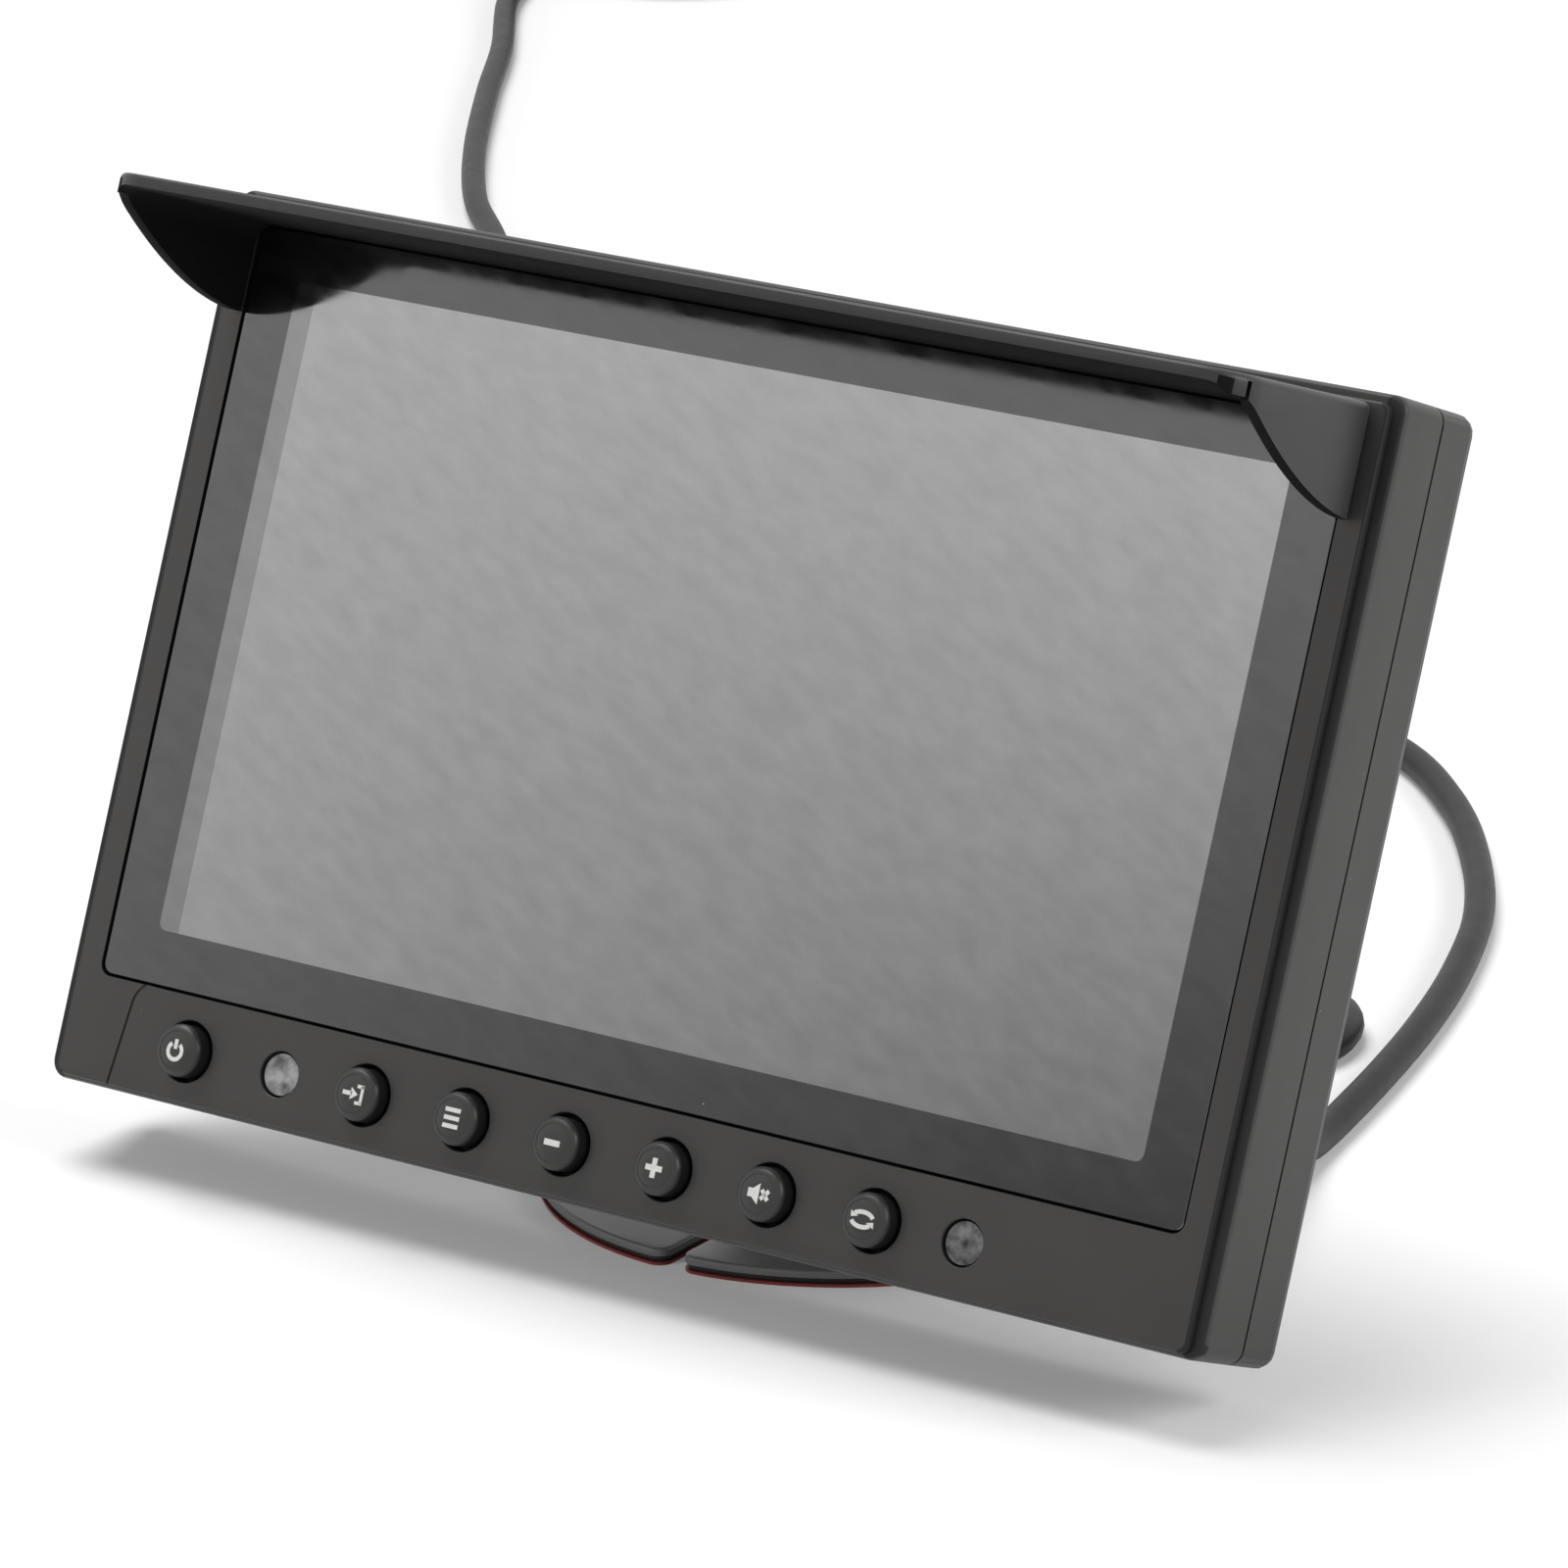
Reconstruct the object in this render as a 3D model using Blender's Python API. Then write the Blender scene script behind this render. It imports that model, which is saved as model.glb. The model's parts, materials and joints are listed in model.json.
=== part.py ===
"""Rear-view monitor: a 7-inch screen on a tilting petal foot, with its sun visor and its cable.

World frame: metres, +Z up, origin at the centre of the foot's underside, screen facing -Y.
Monitor frame: x to the right, y into the body from the front plate, z up the screen.
"""
import math

import bmesh
import bpy
from mathutils import Vector

# Clearances
FIT = 0.0003              # between pieces that seat on or pass through each other
STACK_GAP = 0.0002        # between the layers under the foot

# Screen
LCD_WIDTH = 0.1632
LCD_HEIGHT = 0.0970
LCD_THICKNESS = 0.0026
LCD_CLEARANCE = 0.0004    # round the panel, on each side
LEDGE_SIDE = 0.00345      # step that carries the glass, left and right
LEDGE_TOP = 0.0015        # the same step above the panel
LEDGE_BOTTOM = 0.00225    # and below it
LEDGE_THICKNESS = 0.0014
GLASS_THICKNESS = 0.0011
GLASS_RECESS = 0.0002
GLASS_GAP = 0.0004        # dark line round the glass
GLASS_CORNER = 0.0014

# Housing
BORDER_SIDE = 0.00375     # front plate beside the glass pocket
BORDER_TOP = 0.0028
CONTROL_STRIP = 0.0132
RIM_SIDE = 0.0018         # rim that frames the raised front plate
RIM_END = 0.0013
RIM_STEP = 0.00115
RIM_ROUND = 0.0012
PLATE_EDGE = 0.0003
PLATE_CORNER = 0.0012
HOUSING_CORNER = 0.0022
WALL = 0.002
FRONT_DEPTH = 0.0105
REAR_DEPTH = 0.020
REAR_ROUND = 0.0025
BLOCK_WIDTH = 0.084
BLOCK_HEIGHT = 0.076
BLOCK_DROP = 0.005        # block's centre below the screen's centre
BLOCK_RISE = 0.004
BLOCK_SLOPE = 0.003
BLOCK_CORNER = 0.006
BLOCK_EDGE = 0.001
BOSS_RADIUS = 0.0035
BOSS_FROM_TOP = 0.012
BOSS_FROM_BOTTOM = 0.008
GROOVE_WIDTH = 0.00055
GROOVE_DEPTH = 0.0005
GROOVE_INSET = 0.0088     # from the plate's left edge, at the strip's foot
GROOVE_LEAN = 0.0014
GROOVE_BEND = 0.0036

# Controls
ROW_ABOVE_EDGE = 0.00605
POWER_INSET = 0.02068     # power key from the front plate's left edge
LIGHT_INSET = 0.03452     # second sensor from its right edge
BUTTON_RADIUS = 0.0035
BUTTON_PROUD = 0.0026
BUTTON_ROUND = 0.0006
BUTTON_FLANGE = 0.0008    # flange beyond the cap, which keeps it in
FLANGE_THICKNESS = 0.0009
STEM_RADIUS = 0.0014
STEM_LENGTH = 0.0010
PRESS_GAP = 0.0006        # between stem and switch
POWER_BEFORE = 0.0154     # power key to the first sensor
SENSOR_BEFORE = 0.0141    # first sensor to the row's first key
SENSOR_AFTER = 0.0134     # last key to the second sensor
SENSOR_RADIUS = 0.00275
SENSOR_RECESS = 0.00045
SENSOR_FLANGE = 0.00085
SENSOR_CHIP = 0.005
SWITCH_SIZE = 0.006
SWITCH_HEIGHT = 0.0025
PLUNGER_RADIUS = 0.0016
PLUNGER_HEIGHT = 0.0005
BOARD_THICKNESS = 0.001
BOARD_HEIGHT = 0.008
BOARD_POST = 0.0022
BOARD_PIN = 0.0011
BOARD_OVERHANG = 0.003    # board beyond its posts
POST_BEYOND_KEYS = 0.0075

# Electronics
TRAY_WALL = 0.0012
TRAY_BASE = 0.0008
TRAY_POST = 0.0025
TRAY_PIN = 0.0012
POST_HEIGHT = 0.0044
PIN_HEIGHT = 0.0025
MAIN_WIDTH = 0.110
MAIN_HEIGHT = 0.060
MAIN_THICKNESS = 0.0016
POST_INSET = 0.005
CHIP_SIZE = 0.014
CHIP_HEIGHT = 0.0014
INDUCTOR_SIZE = 0.010
INDUCTOR_HEIGHT = 0.004
INDUCTOR_X = 0.022
INDUCTOR_Z = 0.010
HEADER_LENGTH = 0.012
HEADER_WIDTH = 0.006
HEADER_HEIGHT = 0.0034
HEADER_INSET = 0.021      # from the board's right edge
HEADER_ABOVE = 0.006      # from its lower edge
SPEAKER_RADIUS = 0.014
SPEAKER_RIM = 0.0012
MAGNET_RADIUS = 0.008
MAGNET_HEIGHT = 0.0048
SPEAKER_X = -0.024
SPEAKER_Z = 0.015
GRILLE_SLOTS = 5
GRILLE_PITCH = 0.0036
GRILLE_WIDTH = 0.0016

# Fasteners
SCREW_RADIUS = 0.00125
SCREW_HEAD = 0.0024
SCREW_HEAD_HEIGHT = 0.0018
SCREW_LENGTH = 0.010
HEAD_DEPTH = 0.004        # counterbore from the rear face
ARM_SCREW_RADIUS = 0.0014
ARM_SCREW_HEAD = 0.0026
ARM_SCREW_HEIGHT = 0.0016
ARM_SCREW_LENGTH = 0.0078
ARM_BOSS_LENGTH = 0.005

# Tilt arm and foot
LEAN = math.radians(21.28)
ARM_WIDTH = 0.034
ARM_HEIGHT = 0.040
ARM_THICKNESS = 0.003
ARM_CORNER = 0.004
ARM_SCREW_X = 0.013
ARM_SCREW_Z = 0.015
ARM_REACH = 0.0141        # pivot behind the block
PIVOT_DROP = 0.0152       # pivot below the screen's centre
EYE_RADIUS = 0.0075
EYE_HALF = 0.0057
EAR_THICKNESS = 0.005
EAR_RADIUS = 0.008
EAR_BASE = 0.013
BOLT_RADIUS = 0.0025
BOLT_HEAD = 0.0055
BOLT_HEAD_HEIGHT = 0.0032
BOLT_IN_KNOB = 0.0054
WASHER_THICKNESS = 0.001
KNOB_RADIUS = 0.0095
KNOB_LENGTH = 0.010
KNOB_LOBES = 6
KNOB_LOBE = 0.0011
FOOT_RADIUS = 0.0396
FOOT_THICKNESS = 0.0011
FOOT_EDGE = 0.0004
PETALS = 4
PETAL_CORNER = 0.002
FOOT_TURN = math.radians(2.2)
SLOT_HALF = 0.0012
SLOT_INNER = 0.017
PAD_THICKNESS = 0.0004
LINER_THICKNESS = 0.0004
HUB_BASE = 0.015
HUB_TOP = 0.013
HUB_HEIGHT = 0.0045
HOUSING_CLEARANCE = 0.0023  # under the housing's lower rear edge

# Sun visor
VISOR_HALF = 0.0873
VISOR_REACH = 0.033
VISOR_CORNER = 0.007
VISOR_WALL = 0.0016
VISOR_INNER = 0.0025        # round of its inside, where the top meets a wing
VISOR_BELOW_PLATE = 0.0003  # its top below the front plate's top edge
VISOR_SLOPE = 0.0012        # fall of its top towards the front
VISOR_WING = 0.0146         # wing's height at the front plate
VISOR_TIP = 0.0026          # its height at the front
WING_REACH = 0.0290         # where the wing's lower edge levels out
WING_POWER = 1.75
SLIT_WIDTH = 0.0006         # across the wing's front corner
SLIT_BELOW = 0.0006         # its upper end below the visor's top
SLIT_ANGLE = math.radians(22)
TONGUE_X = 0.045
TONGUE_WIDTH = 0.019
TONGUE_THICKNESS = 0.0012
TONGUE_DROP = 0.0005        # below the visor's top
TONGUE_LENGTH = 0.0037

# Cable
CABLE_DIAMETER = 0.0045
GLAND_X = 0.054
GLAND_Z = -0.038
GLAND_FLANGE = 0.006
GLAND_FLANGE_THICKNESS = 0.002
GLAND_NECK = 0.0046
GLAND_TIP = 0.003
GLAND_LENGTH = 0.0140
GLAND_SPIGOT = 0.0036
GLAND_INSIDE = 0.0015
COIL_RADIUS = 0.0275
COIL_GAP = 0.0005
COIL_TURNS = 3.25
LOOP_POINTS = 24
COIL_TAIL = 0.012         # straight end that brings the plug clear of the coil
TIE_THICKNESS = 0.0008
TIE_WIDTH = 0.006
BOOT_LENGTH = 0.016
BOOT_SLIM = 0.0032
BOOT_WIDE = 0.0056
PLUG_RADIUS = 0.0058
PLUG_LENGTH = 0.0174
NUT_LENGTH = 0.012
NUT_FLUTES = 16
NUT_FLUTE = 0.0004

# Sizes that follow from the above
SMALL = 0.001              # how far a cutter runs past what it cuts
OPENING_X = LCD_WIDTH / 2 + LCD_CLEARANCE
OPENING_Z = LCD_HEIGHT / 2 + LCD_CLEARANCE
POCKET_X = OPENING_X + LEDGE_SIDE
POCKET_TOP = OPENING_Z + LEDGE_TOP
POCKET_BOTTOM = -OPENING_Z - LEDGE_BOTTOM
POCKET = (-POCKET_X, POCKET_X, POCKET_BOTTOM, POCKET_TOP)
GLASS_BACK = GLASS_RECESS + GLASS_THICKNESS
LEDGE_FACE = GLASS_BACK + FIT
PLATE_THICKNESS = LEDGE_FACE + LEDGE_THICKNESS
PLATE_X = POCKET_X + BORDER_SIDE
PLATE_TOP = POCKET_TOP + BORDER_TOP
PLATE_BOTTOM = POCKET_BOTTOM - CONTROL_STRIP
PLATE = (-PLATE_X, PLATE_X, PLATE_BOTTOM, PLATE_TOP)
HOUSING = (-PLATE_X - RIM_SIDE, PLATE_X + RIM_SIDE, PLATE_BOTTOM - RIM_END, PLATE_TOP + RIM_END)
RIM_EDGE = min(RIM_ROUND, 0.9 * RIM_SIDE, 0.9 * RIM_END)
REAR_FACE = REAR_DEPTH
BLOCK_FACE = REAR_DEPTH + BLOCK_RISE
BLOCK = (-BLOCK_WIDTH / 2, BLOCK_WIDTH / 2, -BLOCK_DROP - BLOCK_HEIGHT / 2, -BLOCK_DROP + BLOCK_HEIGHT / 2)
TRAY_X = OPENING_X + TRAY_WALL
TRAY_Z = OPENING_Z + TRAY_WALL
BOSS_X = TRAY_X + FIT + BOSS_RADIUS
BOSS_PLACES = [(x, z) for x in (-BOSS_X, BOSS_X)
               for z in (HOUSING[2] + BOSS_FROM_BOTTOM, HOUSING[3] - BOSS_FROM_TOP)]
SCREW_HOLE = SCREW_RADIUS + FIT
SCREW_SEAT = REAR_DEPTH - HEAD_DEPTH
SCREW_TIP = SCREW_SEAT + FIT - SCREW_LENGTH
ARM_SCREW_HOLE = ARM_SCREW_RADIUS + FIT
LCD_FACE = LEDGE_FACE
TRAY_FACE = PLATE_THICKNESS + FIT
TRAY_FLOOR = LCD_FACE + LCD_THICKNESS + FIT
TRAY_BACK = TRAY_FLOOR + TRAY_BASE
MAIN_FACE = TRAY_BACK + POST_HEIGHT + FIT
MAIN_BACK = MAIN_FACE + MAIN_THICKNESS
HEADER_X = MAIN_WIDTH / 2 - HEADER_INSET
HEADER_Z = HEADER_ABOVE - MAIN_HEIGHT / 2 - BLOCK_DROP
MAIN_POSTS = [(x, z - BLOCK_DROP) for x in (POST_INSET - MAIN_WIDTH / 2, MAIN_WIDTH / 2 - POST_INSET)
              for z in (POST_INSET - MAIN_HEIGHT / 2, MAIN_HEIGHT / 2 - POST_INSET)]
ROW_Z = PLATE_BOTTOM + ROW_ABOVE_EDGE
ROW_KEYS = ("source", "menu", "minus", "plus", "mute", "rotate")
POWER_X = -PLATE_X + POWER_INSET
RECEIVER_X = POWER_X + POWER_BEFORE
LIGHT_X = PLATE_X - LIGHT_INSET
FIRST_X = RECEIVER_X + SENSOR_BEFORE
BUTTON_PITCH = (LIGHT_X - SENSOR_AFTER - FIRST_X) / (len(ROW_KEYS) - 1)
KEY_X = {key: FIRST_X + place * BUTTON_PITCH for place, key in enumerate(ROW_KEYS)}
KEY_X["power"] = POWER_X
FLANGE_FACE = PLATE_THICKNESS + FIT
FLANGE_BACK = FLANGE_FACE + FLANGE_THICKNESS
STEM_END = FLANGE_BACK + STEM_LENGTH
PLUNGER_FACE = STEM_END + PRESS_GAP
SWITCH_BACK = PLUNGER_FACE + PLUNGER_HEIGHT + SWITCH_HEIGHT
BOARD_FACE = SWITCH_BACK + FIT
BOARD_BACK = BOARD_FACE + BOARD_THICKNESS
BOARD_POSTS = (POWER_X - POST_BEYOND_KEYS, LIGHT_X + POST_BEYOND_KEYS)
ARM_FACE = BLOCK_FACE + FIT
ARM_BACK = ARM_FACE + ARM_THICKNESS
PIVOT_DEPTH = BLOCK_FACE + ARM_REACH
ARM_SCREWS = [(x, z - PIVOT_DROP) for x in (-ARM_SCREW_X, ARM_SCREW_X) for z in (-ARM_SCREW_Z, ARM_SCREW_Z)]
PAD_BOTTOM = LINER_THICKNESS + STACK_GAP
FOOT_BOTTOM = PAD_BOTTOM + PAD_THICKNESS + STACK_GAP
FOOT_TOP = FOOT_BOTTOM + FOOT_THICKNESS
PIVOT_HEIGHT = (FOOT_TOP + HOUSING_CLEARANCE - (HOUSING[2] + PIVOT_DROP) * math.cos(LEAN)
                + (REAR_FACE - PIVOT_DEPTH) * math.sin(LEAN))
EAR_INSIDE = EYE_HALF + FIT
EAR_OUTSIDE = EAR_INSIDE + EAR_THICKNESS
BOLT_BORE = BOLT_RADIUS + FIT
WASHER_FACE = EAR_OUTSIDE + FIT
KNOB_FACE = WASHER_FACE + WASHER_THICKNESS + FIT
BOLT_END = KNOB_FACE + BOLT_IN_KNOB
VISOR_TOP = PLATE_TOP - VISOR_BELOW_PLATE
TONGUE_TOP = VISOR_TOP - TONGUE_DROP
GLAND_FACE = REAR_FACE + FIT
GLAND_END = GLAND_FACE + GLAND_FLANGE_THICKNESS + GLAND_LENGTH
CABLE_RADIUS = CABLE_DIAMETER / 2
COIL_PITCH = CABLE_DIAMETER + COIL_GAP
COIL_LOW = TIE_THICKNESS + FIT + CABLE_RADIUS
COIL_HIGH = COIL_LOW + COIL_PITCH
COIL_REVERSE = COIL_TURNS / 2
COIL_INNER = COIL_RADIUS - COIL_REVERSE * COIL_PITCH

# Cable's route over the floor, from behind the monitor to the coil
RISER_ROUTE = [(0.0538, 0.000, 0.0206), (0.0532, 0.010, 0.0163), (0.0520, 0.020, 0.0114),
               (0.0504, 0.028, 0.0075), (0.0486, 0.035, 0.0044), (0.0467, 0.042, 0.0027),
               (0.0449, 0.049, 0.00225)]
FLOOR_ROUTE = [(0.0432, 0.056), (0.039, 0.072), (0.033, 0.092), (0.025, 0.114), (0.014, 0.138),
               (0.000, 0.160), (-0.017, 0.181), (-0.038, 0.199), (-0.066, 0.209), (-0.092, 0.200),
               (-0.104, 0.176), (-0.095, 0.148), (-0.072, 0.127), (-0.040, 0.1138), (-0.010, 0.1033),
               (0.0148, 0.0945), (0.0236, 0.088), (0.0269, 0.0777), (0.0236, 0.0674), (0.0165, 0.0615),
               (0.0075, 0.0598), (-0.020, 0.0625), (-0.060, 0.075), (-0.105, 0.103), (-0.150, 0.150),
               (-0.200, 0.213), (-0.250, 0.272), (-0.300, 0.328), (-0.3375, 0.3683), (-0.3584, 0.3899),
               (-0.382, 0.4204), (-0.4095, 0.4605), (-0.430, 0.492), (-0.455, 0.527)]
COIL_START = (-0.4735, 0.5620)


def clear_scene():
    for old in list(bpy.data.objects):
        bpy.data.objects.remove(old, do_unlink=True)


def look(name, colour, roughness, metallic=0.0):
    """A plain material of one colour."""
    made = bpy.data.materials.new(name)
    made.use_nodes = True
    shader = made.node_tree.nodes["Principled BSDF"]
    shader.inputs["Base Color"].default_value = (*colour, 1.0)
    shader.inputs["Roughness"].default_value = roughness
    shader.inputs["Metallic"].default_value = metallic
    return made


def empty(name, parent=None, location=(0.0, 0.0, 0.0), rotation=(0.0, 0.0, 0.0)):
    made = bpy.data.objects.new(name, None)
    bpy.context.scene.collection.objects.link(made)
    made.parent = parent
    made.location = location
    made.rotation_euler = rotation
    return made


def add_loft(bm, rings, closed=False):
    """Add a closed shell through rings of equally many points, capped unless it runs round."""
    loops = [[bm.verts.new(point) for point in ring] for ring in rings]
    pairs = list(zip(loops, loops[1:]))
    if closed:
        pairs.append((loops[-1], loops[0]))
    faces = []
    for near, far in pairs:
        for i in range(len(near)):
            j = (i + 1) % len(near)
            faces.append(bm.faces.new((near[i], near[j], far[j], far[i])))
    if not closed:
        faces.append(bm.faces.new(loops[0][::-1]))
        faces.append(bm.faces.new(loops[-1]))
    bmesh.ops.recalc_face_normals(bm, faces=faces)


def mesh_of(name, shells, material=None):
    """A mesh from lists of rings, one closed shell each; a pair (rings, True) runs round."""
    bm = bmesh.new()
    for shell in shells:
        if isinstance(shell, tuple):
            add_loft(bm, shell[0], shell[1])
        else:
            add_loft(bm, shell)
    mesh = bpy.data.meshes.new(name)
    bm.to_mesh(mesh)
    bm.free()
    mesh.shade_smooth()
    mesh.set_sharp_from_angle(angle=math.radians(35))
    if material:
        mesh.materials.append(material)
    return mesh


def place(name, mesh, parent=None, location=(0.0, 0.0, 0.0)):
    made = bpy.data.objects.new(name, mesh)
    bpy.context.scene.collection.objects.link(made)
    made.parent = parent
    made.location = location
    return made


def combine(target, shells, operation):
    """Cut shells from the target, or join them to it."""
    tool = place(f"{target.name}_tool_{len(target.modifiers)}", mesh_of("tool", shells), target.parent)
    tool.location = target.location
    tool.hide_render = True
    tool.display_type = "WIRE"
    modifier = target.modifiers.new(tool.name, "BOOLEAN")
    modifier.operation = operation
    modifier.solver = "EXACT"
    modifier.object = tool


def inset(box, amount):
    return (box[0] + amount, box[1] - amount, box[2] + amount, box[3] - amount)


def box_round(x, z, width, height):
    return (x - width / 2, x + width / 2, z - height / 2, z + height / 2)


def rounded(box, corner, y, steps=4):
    """Rounded rectangle across the monitor's x and z at depth y."""
    x0, x1, z0, z1 = box
    ring = []
    centres = ((x1 - corner, z1 - corner), (x0 + corner, z1 - corner),
               (x0 + corner, z0 + corner), (x1 - corner, z0 + corner))
    for quarter, (x, z) in enumerate(centres):
        for step in range(steps + 1):
            angle = math.pi / 2 * (quarter + step / steps)
            ring.append((x + corner * math.cos(angle), y, z + corner * math.sin(angle)))
    return ring


def slab(box, corner, y0, y1, steps=4):
    return [rounded(box, corner, y0, steps), rounded(box, corner, y1, steps)]


def circle(radius, along, centre, axis, sides):
    """Ring round an axis: centre holds the two other coordinates, in x, y, z order."""
    ring = []
    for i in range(sides):
        angle = 2 * math.pi * i / sides
        point = [centre[0] + radius * math.cos(angle), centre[1] + radius * math.sin(angle)]
        point.insert("XYZ".index(axis), along)
        ring.append(tuple(point))
    return ring


def turned(profile, centre=(0.0, 0.0), axis="Y", sides=16):
    """Rings of a turned piece from its profile of (along, radius)."""
    return [circle(radius, along, centre, axis, sides) for along, radius in profile]


def rod(start, end, radius, centre=(0.0, 0.0), axis="Y", sides=16):
    """Rings of a plain round bar or bore."""
    return turned([(start, radius), (end, radius)], centre, axis, sides)


def arc(x, y, radius, start, end, steps):
    """Points on an arc between two angles in degrees."""
    points = []
    for step in range(steps + 1):
        angle = math.radians(start + (end - start) * step / steps)
        points.append((x + radius * math.cos(angle), y + radius * math.sin(angle)))
    return points


def side_prism(outline, x0, x1):
    """Shell of an outline in y and z, drawn out along x."""
    return [[(x, y, z) for y, z in outline] for x in (x0, x1)]


def make_bezel(frame, plastic):
    """Front half of the housing: raised front plate, rim, side walls, bosses and key posts."""
    rings = [rounded(inset(PLATE, PLATE_EDGE), PLATE_CORNER, 0.0),
             rounded(PLATE, PLATE_CORNER, PLATE_EDGE),
             rounded(PLATE, PLATE_CORNER, RIM_STEP)]
    for step in range(4):
        angle = math.pi / 2 * step / 3
        edge = RIM_EDGE * (1 - math.sin(angle))
        depth = RIM_STEP + RIM_EDGE * (1 - math.cos(angle))
        rings.append(rounded(inset(HOUSING, edge), HOUSING_CORNER, depth))
    rings.append(rounded(HOUSING, HOUSING_CORNER, FRONT_DEPTH))
    bezel = place("front_bezel", mesh_of("front_bezel", [rings], plastic), frame)
    cavity = slab(inset(HOUSING, WALL), HOUSING_CORNER, PLATE_THICKNESS, FRONT_DEPTH + SMALL)
    combine(bezel, [cavity], "DIFFERENCE")
    root = PLATE_THICKNESS - FIT
    bosses = [rod(root, FRONT_DEPTH, BOSS_RADIUS, place_xz) for place_xz in BOSS_PLACES]
    posts = [turned([(root, BOARD_POST), (BOARD_FACE - FIT, BOARD_POST), (BOARD_FACE - FIT, BOARD_PIN),
                     (BOARD_BACK + BOARD_THICKNESS / 2, BOARD_PIN)], (x, ROW_Z)) for x in BOARD_POSTS]
    combine(bezel, bosses + posts, "UNION")
    opening = slab((-OPENING_X, OPENING_X, -OPENING_Z, OPENING_Z), GLASS_CORNER, -SMALL, FRONT_DEPTH)
    combine(bezel, [opening], "DIFFERENCE")
    pocket = slab(POCKET, GLASS_CORNER + GLASS_GAP, -SMALL, LEDGE_FACE)
    combine(bezel, [pocket], "DIFFERENCE")
    behind = PLATE_THICKNESS + SMALL
    holes = [rod(-SMALL, behind, BUTTON_RADIUS + FIT, (x, ROW_Z)) for x in KEY_X.values()]
    holes += [rod(-SMALL, behind, SENSOR_RADIUS + FIT, (x, ROW_Z)) for x in (RECEIVER_X, LIGHT_X)]
    holes += [rod(SCREW_TIP - FIT, FRONT_DEPTH + SMALL, SCREW_HOLE, place_xz, sides=12)
              for place_xz in BOSS_PLACES]
    slot = TONGUE_TOP - TONGUE_THICKNESS / 2
    for side in (-1, 1):
        mouth = box_round(side * TONGUE_X, slot, TONGUE_WIDTH + 2 * FIT, TONGUE_THICKNESS + 2 * FIT)
        holes.append(slab(mouth, FIT, -SMALL, behind, steps=1))
    combine(bezel, holes, "DIFFERENCE")
    combine(bezel, [make_groove()], "DIFFERENCE")


def make_groove():
    """Cutter for the fine line that closes the control strip's left end and bends into the glass gap."""
    foot_x = -PLATE_X + GROOVE_INSET
    bend_z = POCKET_BOTTOM + GROOVE_WIDTH - GROOVE_BEND
    top_x = foot_x + GROOVE_LEAN
    half = GROOVE_WIDTH / 2
    outer = [(foot_x - half, PLATE_BOTTOM - SMALL)]
    outer += arc(top_x + GROOVE_BEND, bend_z, GROOVE_BEND + half, 180, 90, 6)
    inner = arc(top_x + GROOVE_BEND, bend_z, GROOVE_BEND - half, 90, 180, 6)
    inner.append((foot_x + half, PLATE_BOTTOM - SMALL))
    return [[(x, y, z) for x, z in outer + inner] for y in (-SMALL, GROOVE_DEPTH)]


def make_screen(frame, looks):
    """Cover glass, display panel and the tray that carries the panel and the main board."""
    glass = slab(inset(POCKET, GLASS_GAP), GLASS_CORNER, GLASS_RECESS, GLASS_BACK)
    place("cover_glass", mesh_of("cover_glass", [glass], looks["glass"]), frame)
    lcd = (-LCD_WIDTH / 2, LCD_WIDTH / 2, -LCD_HEIGHT / 2, LCD_HEIGHT / 2)
    place("lcd_panel", mesh_of("lcd_panel", [slab(lcd, LCD_CLEARANCE, LCD_FACE, LCD_FACE + LCD_THICKNESS)],
                               looks["display"]), frame)
    outside = (-TRAY_X, TRAY_X, -TRAY_Z, TRAY_Z)
    tray = place("lcd_tray", mesh_of("lcd_tray", [slab(outside, TRAY_WALL, TRAY_FACE, TRAY_BACK)],
                                     looks["tray_steel"]), frame)
    room = (-OPENING_X, OPENING_X, -OPENING_Z, OPENING_Z)
    combine(tray, [slab(room, LCD_CLEARANCE, TRAY_FACE - SMALL, TRAY_FLOOR)], "DIFFERENCE")
    seat = MAIN_FACE - FIT
    posts = [turned([(TRAY_BACK - TRAY_BASE / 2, TRAY_POST), (seat, TRAY_POST), (seat, TRAY_PIN),
                     (seat + PIN_HEIGHT, TRAY_PIN)], place_xz, sides=12) for place_xz in MAIN_POSTS]
    combine(tray, posts, "UNION")


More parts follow.
